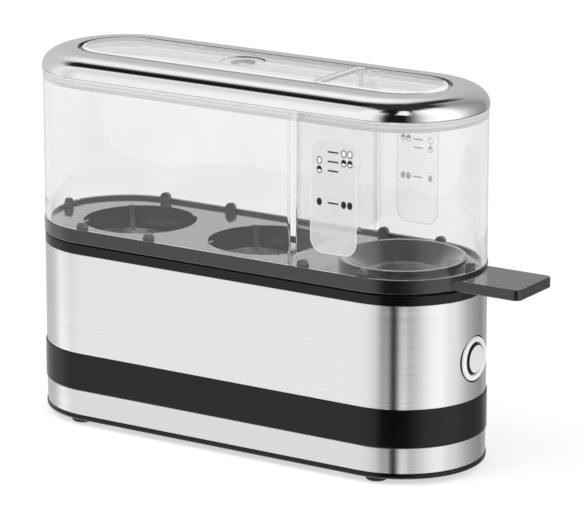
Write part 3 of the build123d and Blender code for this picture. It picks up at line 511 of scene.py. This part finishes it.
button_grey = moulded("button_grey", (0.70, 0.705, 0.71), 0.24, 0.34, grain_depth=0.000004)
paint_side_shade(button_grey, CAP_PALE)
bezel_silver = moulded("bezel_silver", (0.80, 0.80, 0.805), 0.22, 0.30, grain_depth=0.000002)
paint_side_shade(bezel_silver, BEZEL_PALE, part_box("button_bezel")[1].x - BEZEL_FLANK)
print("cap pale to", CAP_PALE / MM, "mm, ring pale to", BEZEL_PALE / MM, "mm")

# %% [markdown]
# The steel was brushed along the body before it was bent. The lines spread a reflection upwards and
# downwards but hardly sideways, so the tangent runs round the body and is turned a quarter. Fine lines in
# colour and roughness give the visible grain. The lower wall is a touch darker than the upper one: painted
# shade, for the darker table near the base that it mirrors.

# %% Brushed steel
STEEL_DARK, STEEL_LIGHT = 0.08, 0.14
STEEL_ROUGHNESS = (0.14, 0.23)
LINE_DEPTH = 0.000002
SPREAD = 0.90
QUARTER = 0.25


def brushed(name, colour):
    material, tree, shader = finish_start(name)
    drawn_lines = use(tree, brushing)["Lines"]
    tone = mixed(tree, drawn_lines, darker(colour, STEEL_DARK), lighter(colour, STEEL_LIGHT))
    tree.links.new(tone, shader.inputs["Base Color"])
    tree.links.new(between(tree, drawn_lines, *STEEL_ROUGHNESS), shader.inputs["Roughness"])
    tree.links.new(bump(tree, drawn_lines, LINE_DEPTH), shader.inputs["Normal"])
    shader.inputs["Metallic"].default_value = 1.0
    shader.inputs["Anisotropic"].default_value = SPREAD
    shader.inputs["Anisotropic Rotation"].default_value = QUARTER
    around = add(tree, "ShaderNodeTangent", direction_type="RADIAL", axis="Z")
    tree.links.new(around.outputs[0], shader.inputs["Tangent"])
    return material


brushed_steel = brushed("brushed_steel", (0.77, 0.77, 0.765))
# darker copy of the steel: painted shade for the darker table that the lower wall mirrors
shaded_low_steel = brushed("shaded_low_steel", (0.68, 0.68, 0.675))
print("brushed finishes:", brushed_steel.name, shaded_low_steel.name)

# %% [markdown]
# Other metals are plainer: bright zinc on screws and nuts, the pressed dish, the heater's tinted sheath, the
# thermostat's can and the ring's plating. Their gloss is broken by smudges, which also shift the colour to a
# second tone, and a fine grain stands for rolling.

# %% Plain and plated metals
METAL_SMUDGE = 60.0
METAL_WORN = 0.3


def plain_metal(name, colour, second, low, high, grain_scale=1800.0, grain_depth=0.000003):
    material, tree, shader = finish_start(name)
    texture = use(tree, grain, Scale=grain_scale)
    touched = use(tree, smudge, Scale=METAL_SMUDGE)["Mask"]
    worn = use(tree, wear)["Mask"]
    body = mixed(tree, touched, colour, second)
    tree.links.new(mixed(tree, worn, body, lighter(colour, METAL_WORN)), shader.inputs["Base Color"])
    tree.links.new(between(tree, touched, low, high), shader.inputs["Roughness"])
    tree.links.new(bump(tree, texture["Height"], grain_depth), shader.inputs["Normal"])
    shader.inputs["Metallic"].default_value = 1.0
    return material


zinc_steel = plain_metal("zinc_steel", (0.62, 0.62, 0.60), (0.55, 0.56, 0.58), 0.25, 0.40)
dish_steel = plain_metal("dish_steel", (0.68, 0.68, 0.67), (0.62, 0.61, 0.58), 0.18, 0.32)
element_sheath = plain_metal("element_sheath", (0.36, 0.34, 0.32), (0.30, 0.25, 0.22), 0.40, 0.55)
thermostat_can = plain_metal("thermostat_can", (0.72, 0.72, 0.72), (0.66, 0.66, 0.67), 0.28, 0.42)
ring_chrome = plain_metal("ring_chrome", (0.90, 0.90, 0.905), (0.88, 0.88, 0.885), 0.03, 0.06,
                          grain_scale=90.0, grain_depth=0.0)
print("metals:", zinc_steel.name, dish_steel.name, element_sheath.name, thermostat_can.name, ring_chrome.name)

# %% [markdown]
# The ring is plated plastic. The plating stops at its inner edge, and there the colour is near black: painted
# shade for the narrow groove round the top panel. A mask from the distance to the middle line turns the metal
# off there. Inside, where the ring faces the hood, the plastic is pale and bare. Those faces point inwards or
# down, so a second mask comes from the normal. The plating's lowest edge is painted darker, a painted shade
# line that draws the ring's foot.

# %% Bare inner faces, and painted shade in the groove and at the foot of the plated ring
RING_OPENING = 0.0170
OPENING_FADE = (0.00012, 0.00004)
FACING_FADE = (0.02, -0.02)
FOOT_SHADE_HEIGHT = 0.0008
PAINTED_FOOT_SHADE = (0.42, 0.42, 0.425)
PALE_PLASTIC, PAINTED_GROOVE_SHADE = 0.93, 0.006
ring_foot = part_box("chrome_ring")[0].z
tree = ring_chrome.node_tree
shader = tree.nodes["Principled BSDF"]
measured = use(tree, track)
place = add(tree, "ShaderNodeSeparateXYZ", {0: on_piece(tree)}).outputs
bare_shaded_edge = band(tree, measured["Distance"], *[RING_OPENING + fade for fade in OPENING_FADE])
inner_bare = band(tree, measured["Outward"], *FACING_FADE)
foot_shade = band(tree, place["Z"], ring_foot + FOOT_SHADE_HEIGHT, ring_foot + FOOT_SHADE_HEIGHT / 2)
# painted shade: a darker band at the ring's foot, and near black at its inner edge in the groove
colour = mixed(tree, foot_shade, shader.inputs["Base Color"].links[0].from_socket, PAINTED_FOOT_SHADE)
colour = mixed(tree, inner_bare, colour, grey(PALE_PLASTIC))
colour = mixed(tree, bare_shaded_edge, colour, grey(PAINTED_GROOVE_SHADE))
tree.links.new(colour, shader.inputs["Base Color"])
bare = any_of(tree, bare_shaded_edge, inner_bare)
tree.links.new(between(tree, bare, 1.0, 0.0), shader.inputs["Metallic"])
print("plating ends", RING_OPENING / MM, "mm from the middle line")

# %% [markdown]
# The thermal fuse hides in a woven glass sleeve. Modelling each thread would take many faces for a piece
# inside the closed base. Two sets of waves, turned against each other, give the crossing threads instead, in
# colour as well as in height.

# %% Woven sleeve
THREAD_TURNS = (0.8, -0.8)
THREAD_LEAN = 0.6
THREAD_SCALE = 420.0
THREAD_DEPTH = 0.00005


def thread(tree, way):
    angles = (0.0, THREAD_LEAN, way)
    turned = add(tree, "ShaderNodeMapping", {"Vector": on_piece(tree), "Rotation": angles}).outputs[0]
    return add(tree, "ShaderNodeTexWave", {"Vector": turned, "Scale": THREAD_SCALE}).outputs["Fac"]


fuse_sleeve, tree, shader = finish_start("fuse_sleeve")
weave = any_of(tree, *[thread(tree, way) for way in THREAD_TURNS])
tree.links.new(mixed(tree, weave, (0.62, 0.60, 0.55), (0.86, 0.85, 0.81)), shader.inputs["Base Color"])
tree.links.new(between(tree, weave, 0.8, 0.6), shader.inputs["Roughness"])
tree.links.new(bump(tree, weave, THREAD_DEPTH), shader.inputs["Normal"])
print("woven finish:", fuse_sleeve.name)

# %% [markdown]
# The hood is one clear moulding. The shader is plain glass with the index of the plastic, and faint smudges
# change its tint. The thick ledge under the ring is tinted darker, and three fine grey lines mark its steps:
# painted shade for how the thick clear ledge and its steps look. Every tint below is laid over the one before
# it, by a mask from the place on the hood.

# %% Clear plastic and its ledge
CLEAR_INDEX = 1.49
CLEAR_SMUDGE = 26.0
CLEAR_TINTS = (0.94, 0.925)
LEDGE, LEDGE_FADE, LEDGE_SHADE_TINT = 0.0032, 0.0001, 0.85
LEDGE_STEPS, STEP_SHADE_TINT = (0.0009, 0.0022, 0.0031), 0.52
LINE_REACH = 0.00036


def fine_line(tree, value, middle):
    off_line = maths(tree, "ABSOLUTE", maths(tree, "SUBTRACT", value, middle))
    return band(tree, off_line, LINE_REACH, 0.0)


clear_plastic, tree, shader = finish_start("clear_plastic")
shader.inputs["Transmission Weight"].default_value = 1.0
shader.inputs["IOR"].default_value = CLEAR_INDEX
touched = use(tree, smudge, Scale=CLEAR_SMUDGE)["Mask"]
place = add(tree, "ShaderNodeSeparateXYZ", {0: on_piece(tree)}).outputs
height = place["Z"]
ledge_foot = ring_foot - LEDGE
ledge = both(tree, band(tree, height, ledge_foot - LEDGE_FADE, ledge_foot + LEDGE_FADE),
             band(tree, height, ring_foot + 2 * LEDGE_FADE, ring_foot))
tint = mixed(tree, touched, *[grey(level) for level in CLEAR_TINTS])
# painted shade: the ledge and the lines of its steps are tinted grey
tint = mixed(tree, ledge, tint, grey(LEDGE_SHADE_TINT))
for drop in LEDGE_STEPS:
    tint = mixed(tree, fine_line(tree, height, ring_foot - drop), tint, grey(STEP_SHADE_TINT))
print("clear plastic, index", CLEAR_INDEX, "with", len(LEDGE_STEPS), "lines in its ledge")

# %% [markdown]
# A partition stands across the hood. Where it meets the front and back walls, two fine grey lines of painted
# shade show its faces. Between the walls it is tinted a little darker than they are, painted shade for
# looking through it at a slant.

# %% Partition in the clear plastic
PARTITION_FACES = (0.0307, 0.0331)
WALL_INSIDE = (0.0240, 0.0244)
SEAM_SHADE_TINT, PARTITION_SHADE_TINT = 0.62, 0.89
near_wall = band(tree, maths(tree, "ABSOLUTE", place["Y"]), *WALL_INSIDE)
under_ring = maths(tree, "LESS_THAN", height, ledge_foot)
# painted shade: grey lines at the partition's faces, and a darker tint between the walls
for face_x in PARTITION_FACES:
    seam = both(tree, fine_line(tree, place["X"], face_x), near_wall)
    tint = mixed(tree, both(tree, seam, under_ring), tint, grey(SEAM_SHADE_TINT))
right_of_face = maths(tree, "GREATER_THAN", place["X"], PARTITION_FACES[0])
left_of_face = maths(tree, "LESS_THAN", place["X"], PARTITION_FACES[1])
between_faces = both(tree, right_of_face, left_of_face)
inside_walls = both(tree, between_faces, maths(tree, "SUBTRACT", 1.0, near_wall))
tint = mixed(tree, both(tree, inside_walls, under_ring), tint, grey(PARTITION_SHADE_TINT))
print("partition faces at", [round(face_x / MM, 1) for face_x in PARTITION_FACES], "mm")

# %% [markdown]
# The raised panel in the ring's opening is clearer than the walls. A dark line of painted shade runs along
# both of its long sides, for the dark groove that its rounded edge shows, and fades out round the ends. With
# that the tint is complete. Smudges and the matt ledge set the gloss.

# %% Top panel, and the hood's tint and gloss
PANEL_FOOT, PANEL_TINT = 0.1300, 0.985
PANEL_EDGE, PANEL_EDGE_SHADE = 0.0158, 0.10
LINE_INSIDE, LINE_OUTSIDE = (-0.0007, -0.0004), (0.0003, 0.0002)
SIDE_FADE = (0.3, 0.7)
SMUDGE_ROUGHNESS, LEDGE_ROUGHNESS = 0.02, 0.30
in_panel = maths(tree, "GREATER_THAN", height, PANEL_FOOT)
tint = mixed(tree, in_panel, tint, grey(PANEL_TINT))
from_line = use(tree, track)["Distance"]
long_side = maths(tree, "DIVIDE", maths(tree, "ABSOLUTE", place["Y"]), from_line)
groove_shade_line = both(tree, band(tree, from_line, *[PANEL_EDGE + off for off in LINE_INSIDE]),
                 band(tree, from_line, *[PANEL_EDGE + off for off in LINE_OUTSIDE]))
groove_shade_line = both(tree, both(tree, groove_shade_line, in_panel), band(tree, long_side, *SIDE_FADE))
# painted shade: a dark line along the panel's long sides
tint = mixed(tree, groove_shade_line, tint, grey(PANEL_EDGE_SHADE))
tree.links.new(tint, shader.inputs["Base Color"])
handled = between(tree, touched, 0.0, SMUDGE_ROUGHNESS)
gloss = add(tree, "ShaderNodeMix", {"Factor": ledge, "A": handled, "B": LEDGE_ROUGHNESS}, data_type="FLOAT")
tree.links.new(gloss.outputs["Result"], shader.inputs["Roughness"])
print("panel line at", PANEL_EDGE / MM, "mm from the middle line")

# %% [markdown]
# Glass alone would leave the tray too dark, because shadow and diffuse rays hardly find a way through it.
# They pass straight through a Transparent shader instead. So does light that has bounced inside the walls,
# sooner in the top panel than elsewhere. The slim foot of the partition lets most light straight through
# too, because there the rays would only bounce to and fro.

# %% Light through the hood
RAY_LIMIT, BOUNCE_LIMIT = 6.5, 1.5
PARTITION_FOOT, FOOT_SHARE = 0.0792, 0.8
path = add(tree, "ShaderNodeLightPath").outputs
bounces = maths(tree, "ADD", path["Glossy Depth"], in_panel)
deep = any_of(tree, maths(tree, "GREATER_THAN", path["Ray Depth"], RAY_LIMIT),
              maths(tree, "GREATER_THAN", bounces, BOUNCE_LIMIT))
foot = both(tree, maths(tree, "LESS_THAN", height, PARTITION_FOOT), between_faces)
let_through = any_of(tree, any_of(tree, path["Is Shadow Ray"], path["Is Diffuse Ray"]), deep)
let_through = any_of(tree, let_through, both(tree, foot, FOOT_SHARE))
print("foot of the partition up to", round(PARTITION_FOOT / MM, 1), "mm")

# %% [markdown]
# Steam leaves by a round vent in the panel, in the middle of a shallow round step. As plain glass, such small
# edges only glitter, so the vent's rim and the edge of the step let most light straight through. A grey tint
# on that light, painted shade, keeps the vent's rim in sight.

# %% Vent, and the two shaders together
VENT_X, VENT_REACH = -0.0077, 0.0046
VENT_STEP, STEP_REACH = 0.0080, 0.0003
VENT_SHARE = 0.9
OPEN_TINT, VENT_SHADE_TINT = 0.975, 0.72
aside = maths(tree, "SUBTRACT", place["X"], VENT_X)
way_out = add(tree, "ShaderNodeCombineXYZ", {"X": aside, "Y": place["Y"]}).outputs[0]
from_vent = add(tree, "ShaderNodeVectorMath", {0: way_out}, operation="LENGTH").outputs["Value"]
vent = both(tree, maths(tree, "LESS_THAN", from_vent, VENT_REACH), in_panel)
off_step = maths(tree, "ABSOLUTE", maths(tree, "SUBTRACT", from_vent, VENT_STEP))
vent_step = both(tree, maths(tree, "LESS_THAN", off_step, STEP_REACH), in_panel)
let_through = any_of(tree, let_through, both(tree, any_of(tree, vent, vent_step), VENT_SHARE))
# painted shade: a grey tint on the light through the vent
seen_tint = mixed(tree, vent, grey(OPEN_TINT), grey(VENT_SHADE_TINT))
open_way = add(tree, "ShaderNodeBsdfTransparent", {"Color": seen_tint}).outputs[0]
hood_look = either(tree, let_through, shader.outputs[0], open_way)
tree.links.new(hood_look, tree.nodes["Material Output"].inputs["Surface"])
print("vent at", VENT_X / MM, "mm, its step", VENT_STEP / MM, "mm from its middle")

# %% [markdown]
# The measuring bay of the hood has a frosted field on its front and on its back, with a printed scale. The
# frost is a fine etched texture in the wall. Here it is a very thin plate on the outer face: milky, with a
# polished rim. Alpha lets the tray show through it. The set on the back is thinner and paler.

# %% Frost and ink
PRINT_GRAIN, PRINT_GLOSS, PRINT_DEPTH = 5500.0, 0.25, 0.000001
MILK_SCALE, MILK_SPAN = 110.0, 0.04


def thin_print(name, colour, low, high, cover=1.0):
    material = moulded(name, colour, low, high, gloss=PRINT_GLOSS, grain_scale=PRINT_GRAIN,
                       grain_depth=PRINT_DEPTH)
    tree = material.node_tree
    if cover < 1.0:
        milk = use(tree, smudge, Scale=MILK_SCALE)["Mask"]
        alpha = tree.nodes["Principled BSDF"].inputs["Alpha"]
        tree.links.new(between(tree, milk, cover - MILK_SPAN, cover), alpha)
    return material


frost = thin_print("frosted_field", (0.68, 0.68, 0.677), 0.50, 0.62, cover=0.54)
frost_rim = thin_print("frosted_rim", (0.78, 0.78, 0.777), 0.20, 0.30, cover=0.55)
back_frost = thin_print("back_frost", (0.90, 0.90, 0.895), 0.50, 0.62, cover=0.10)
back_rim = thin_print("back_rim", (0.60, 0.60, 0.597), 0.20, 0.30, cover=0.22)
black_ink = thin_print("black_ink", grey(0.006), 0.45, 0.60)
white_ink = thin_print("white_ink", (0.88, 0.88, 0.87), 0.45, 0.60)
back_ink = thin_print("back_ink", grey(0.02), 0.45, 0.60, cover=0.40)
print("frost and inks:", frost.name, frost_rim.name, back_frost.name, back_rim.name, black_ink.name,
      white_ink.name, back_ink.name)

# %% [markdown]
# The field starts as a plane that faces the front. Its corners are rounded by a vertex bevel, an inset makes
# the rim, and the middle sinks a little, so that the rim stands proud and catches light. Solidify gives it
# thickness towards the wall.

# %% The frosted field
FIELD_LEFT, FIELD_RIGHT = 0.0400, 0.0592
FIELD_BOTTOM, FIELD_TOP = 0.0813, 0.1230
FIELD_CORNER, CORNER_STEPS = 0.0053, 12
FIELD_RIM = 0.0005
FIELD_PROUD = 0.00014
FIELD_SINK = 0.00004
FIELD_SHEET = 0.00008
FACING_FRONT = (pi / 2, 0.0, 0.0)
front_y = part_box("hood")[0].y


def only(piece):
    bpy.ops.object.select_all(action="DESELECT")
    piece.select_set(True)
    bpy.context.view_layer.objects.active = piece


def settle(piece):
    only(piece)
    bpy.ops.object.transform_apply(location=True, rotation=True, scale=True)


bpy.ops.object.select_all(action="DESELECT")
field_middle = ((FIELD_LEFT + FIELD_RIGHT) / 2, front_y - FIELD_PROUD, (FIELD_BOTTOM + FIELD_TOP) / 2)
bpy.ops.mesh.primitive_plane_add(size=1.0, location=field_middle, rotation=FACING_FRONT)
front_field = bpy.context.object
front_field.name = "front_scale_field"
front_field.scale = (FIELD_RIGHT - FIELD_LEFT, FIELD_TOP - FIELD_BOTTOM, 1.0)
settle(front_field)
front_field.data.materials.append(frost_rim)
front_field.data.materials.append(frost)
bpy.ops.object.mode_set(mode="EDIT")
bpy.ops.mesh.select_all(action="SELECT")
bpy.ops.mesh.bevel(offset=FIELD_CORNER, segments=CORNER_STEPS, affect="VERTICES")
bpy.ops.mesh.select_mode(type="FACE")
bpy.ops.mesh.select_all(action="SELECT")
bpy.ops.mesh.inset(thickness=FIELD_RIM, depth=-FIELD_SINK)
front_field.active_material_index = 1
bpy.ops.object.material_slot_assign()
bpy.ops.object.mode_set(mode="OBJECT")
sheet = front_field.modifiers.new("thickness", "SOLIDIFY")
sheet.thickness = FIELD_SHEET
sheet.offset = -1.0
bpy.ops.object.modifier_apply(modifier=sheet.name)
field_size = [round(v / MM, 2) for v in front_field.dimensions]
print("front field:", len(front_field.data.polygons), "faces,", field_size, "mm")

# %% [markdown]
# The scale is a column of short lines with small ovals beside them: outlined, half filled or filled. Each
# mark is modelled once, as a thin raised print, and then copied. An oval is a circle stretched upright. An
# inset and a deleted middle make its outline, and a bisect cuts it in half.

# %% Blanks for the ovals
OVAL_HALF_WIDTH, OVAL_HALF_HEIGHT = 0.00105, 0.00135
OVAL_SIDES = 28
OVAL_LINE = 0.00034
INK_SHEET, WHITE_SHEET = 0.00003, 0.00002


def raise_print(thickness):
    bpy.ops.mesh.select_all(action="SELECT")
    bpy.ops.mesh.extrude_region_move(TRANSFORM_OT_translate={"value": (0.0, -thickness, 0.0)})
    bpy.ops.mesh.select_all(action="SELECT")
    bpy.ops.mesh.normals_make_consistent(inside=False)
    bpy.ops.object.mode_set(mode="OBJECT")


def oval_blank(name, ink):
    bpy.ops.object.select_all(action="DESELECT")
    bpy.ops.mesh.primitive_circle_add(vertices=OVAL_SIDES, fill_type="NGON", rotation=FACING_FRONT)
    blank = bpy.context.object
    blank.name = name
    blank.scale = (OVAL_HALF_WIDTH, OVAL_HALF_HEIGHT, 1.0)
    settle(blank)
    blank.data.materials.append(ink)
    bpy.ops.object.mode_set(mode="EDIT")
    bpy.ops.mesh.select_mode(type="FACE")
    bpy.ops.mesh.select_all(action="SELECT")
    return blank


outline_oval = oval_blank("outline_oval", black_ink)
bpy.ops.mesh.inset(thickness=OVAL_LINE)
bpy.ops.mesh.delete(type="FACE")
raise_print(INK_SHEET)
full_oval = oval_blank("full_oval", black_ink)
raise_print(INK_SHEET)
half_oval = oval_blank("half_oval", black_ink)
bpy.ops.mesh.bisect(plane_co=(0.0, 0.0, 0.0), plane_no=(0.0, 0.0, 1.0), clear_inner=True)
raise_print(INK_SHEET)
white_oval = oval_blank("white_oval", white_ink)
raise_print(WHITE_SHEET)
ovals = (outline_oval, full_oval, half_oval, white_oval)
print("ovals and their faces:", [(oval.name, len(oval.data.polygons)) for oval in ovals])

# %% [markdown]
# The line of the scale is a short printed stroke. A bevelled curve could make it too, but a narrow plane is
# flat by itself. Its corners are rounded, and then it is raised like the ovals.

# %% Blank for the line
LINE_HALF_LENGTH, LINE_HALF_WIDTH = 0.0022, 0.00027
LINE_CORNER_STEPS = 3
bpy.ops.object.select_all(action="DESELECT")
bpy.ops.mesh.primitive_plane_add(size=2.0, rotation=FACING_FRONT)
scale_line = bpy.context.object
scale_line.name = "scale_line"
scale_line.scale = (LINE_HALF_LENGTH, LINE_HALF_WIDTH, 1.0)
settle(scale_line)
scale_line.data.materials.append(black_ink)
bpy.ops.object.mode_set(mode="EDIT")
bpy.ops.mesh.select_all(action="SELECT")
bpy.ops.mesh.bevel(offset=LINE_HALF_WIDTH / 2, segments=LINE_CORNER_STEPS, affect="VERTICES")
raise_print(INK_SHEET)
print("line mark:", len(scale_line.data.polygons), "faces")

# %% [markdown]
# Four rows make the scale. A list gives each row's height and its marks, and each mark is a copy with its
# own mesh. The black marks are joined to one print, and the white fills of the outlined ovals to another.

# %% The printed scale on the front
LINE_X = 0.0494
LEFT_OVAL, RIGHT_OVALS = [0.0438], [0.0538, 0.0563]
ROWS = [(0.1180, [(outline_oval, RIGHT_OVALS)]),
        (0.1146, [(outline_oval, LEFT_OVAL), (outline_oval, RIGHT_OVALS), (half_oval, RIGHT_OVALS)]),
        (0.1113, [(outline_oval, LEFT_OVAL), (half_oval, LEFT_OVAL)]),
        (0.09975, [(full_oval, LEFT_OVAL), (full_oval, RIGHT_OVALS)])]
field_y = front_y - FIELD_PROUD + FIELD_SINK


def copy_to(blank, x, z):
    only(blank)
    bpy.ops.object.duplicate(linked=False)
    copy = bpy.context.object
    copy.location = (x, field_y, z)
    settle(copy)
    return copy


def join(pieces, name):
    only(pieces[0])
    for piece in pieces:
        piece.select_set(True)
    bpy.ops.object.join()
    bpy.context.object.name = name
    return bpy.context.object


black_marks = [copy_to(scale_line, LINE_X, row_z) for row_z, marks in ROWS]
white_marks = []
for row_z, marks in ROWS:
    for blank, places in marks:
        black_marks += [copy_to(blank, x, row_z) for x in places]
        if blank is outline_oval:
            white_marks += [copy_to(white_oval, x, row_z) for x in places]
front_print = join(black_marks, "front_scale_print")
front_white = join(white_marks, "front_scale_white")
for blank in (*ovals, scale_line):
    bpy.data.objects.remove(blank)
print("front print:", len(front_print.data.polygons), "faces")
print("white fills:", len(front_white.data.polygons), "faces")

# %% [markdown]
# The back of the hood has the same lines and ovals, to be read from behind, without the white fills. So it is
# the front's set, copied, turned half round the upright axis and moved to its place. It is a little smaller
# than the front one.

# %% The scale on the back
BACK_SHARE = 0.935
BACK_X, BACK_Z = 0.04835, 0.0993
back_pieces = []
for piece, name, inks in ((front_field, "back_scale_field", (back_rim, back_frost)),
                          (front_print, "back_scale_print", (back_ink,))):
    only(piece)
    bpy.ops.object.duplicate(linked=False)
    copy = bpy.context.object
    copy.name = name
    bpy.ops.transform.translate(value=(-field_middle[0], 0.0, -field_middle[2]))
    settle(copy)
    copy.rotation_euler = (0.0, 0.0, pi)
    copy.scale = (BACK_SHARE, 1.0, BACK_SHARE)
    settle(copy)
    copy.location = (BACK_X, 0.0, BACK_Z)
    settle(copy)
    for place, ink in zip(copy.material_slots, inks):
        place.material = ink
    back_pieces.append(copy)

for piece in (front_field, front_print, front_white, *back_pieces):
    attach(piece, "hood")
print("scale pieces on the hood:", 3 + len(back_pieces))

# %% [markdown]
# Where the partition meets the underside of the top panel, a greyish line shows through the panel across it.
# The line is painted shade: a slim dark bead on each side of the partition. It starts as a cube at the size
# of the bead. The lower outer edge is rounded off with a bevel, so that it fills the corner like a fillet.

# %% Painted shade beads along the partition
BEAD_SIZE, BEAD_HALF_LENGTH = 0.0009, 0.0132
BEAD_GAP = 0.00003
BEAD_ROUND, ROUND_STEPS = 0.8, 4
PARTITION_LEFT, PARTITION_RIGHT = 0.0308, 0.0330
PANEL_UNDERSIDE = 0.1366
# the beads are dark: painted shade for the line where the partition meets the panel
seam_shade = thin_print("seam_shade_bead", grey(0.12), 0.45, 0.60)
for side, face_x, name in ((-1, PARTITION_LEFT, "left_seam_shade_bead"), (1, PARTITION_RIGHT, "right_seam_shade_bead")):
    bpy.ops.object.select_all(action="DESELECT")
    middle = (face_x + side * (BEAD_GAP + BEAD_SIZE / 2), 0.0, PANEL_UNDERSIDE - BEAD_GAP - BEAD_SIZE / 2)
    bpy.ops.mesh.primitive_cube_add(size=1.0, location=middle)
    bead = bpy.context.object
    bead.name = name
    bead.scale = (BEAD_SIZE, 2 * BEAD_HALF_LENGTH, BEAD_SIZE)
    settle(bead)
    bead.data.materials.append(seam_shade)
    corners = [vertex.co for vertex in bead.data.vertices]
    lowest = min(corner.z for corner in corners)
    outermost = max(side * corner.x for corner in corners)
    at_edge = [corner.z - lowest < BEAD_GAP and outermost - side * corner.x < BEAD_GAP for corner in corners]
    for line in bead.data.edges:
        line.select = all(at_edge[index] for index in line.vertices)
    for face in bead.data.polygons:
        face.select = False
    bpy.ops.object.mode_set(mode="EDIT")
    bpy.ops.mesh.select_mode(type="EDGE")
    bpy.ops.mesh.bevel(offset=BEAD_ROUND * BEAD_SIZE, segments=ROUND_STEPS)
    bpy.ops.object.mode_set(mode="OBJECT")
    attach(bead, "hood")
    print(name, len(bead.data.polygons), "faces")

# %% [markdown]
# Each CAD node keeps its mesh and takes its finish through its material slots. One table says which finish
# goes where, so that it can be read, and changed, at a glance.

# %% Finishes on the CAD nodes
FINISHES = {
    black_plastic: ["bottom_cover", "housing", "top_collar"],
    tray_plastic: ["egg_tray"],
    black_rubber: ["rubber_feet", "cord_gland"],
    zinc_steel: ["cover_screws", "collar_screws", "element_clamps", "clamp_nuts", "thermostat_nuts",
                 "fuse_clip", "ring_nut"],
    brushed_steel: ["upper_steel_sleeve"],
    shaded_low_steel: ["lower_steel_sleeve"],
    silicone: ["dish_seal"],
    dish_steel: ["heating_dish"],
    element_sheath: ["heating_element"],
    thermostat_can: ["thermostat"],
    fuse_sleeve: ["thermal_fuse"],
    bezel_silver: ["button_bezel"],
    switch_plastic: ["switch_body", "switch_plunger"],
    button_grey: ["button_cap"],
    terminal_white: ["terminal_block"],
    red_insulation: ["feed_wire", "sensor_wire", "fuse_wire", "heater_wire"],
    blue_insulation: ["return_wire"],
    clear_plastic: ["hood"],
    ring_chrome: ["chrome_ring"],
}
for material, names in FINISHES.items():
    for name in names:
        for place in nodes[name].material_slots:
            place.material = material
print("finished nodes:", sum(len(names) for names in FINISHES.values()), "of", len(nodes))
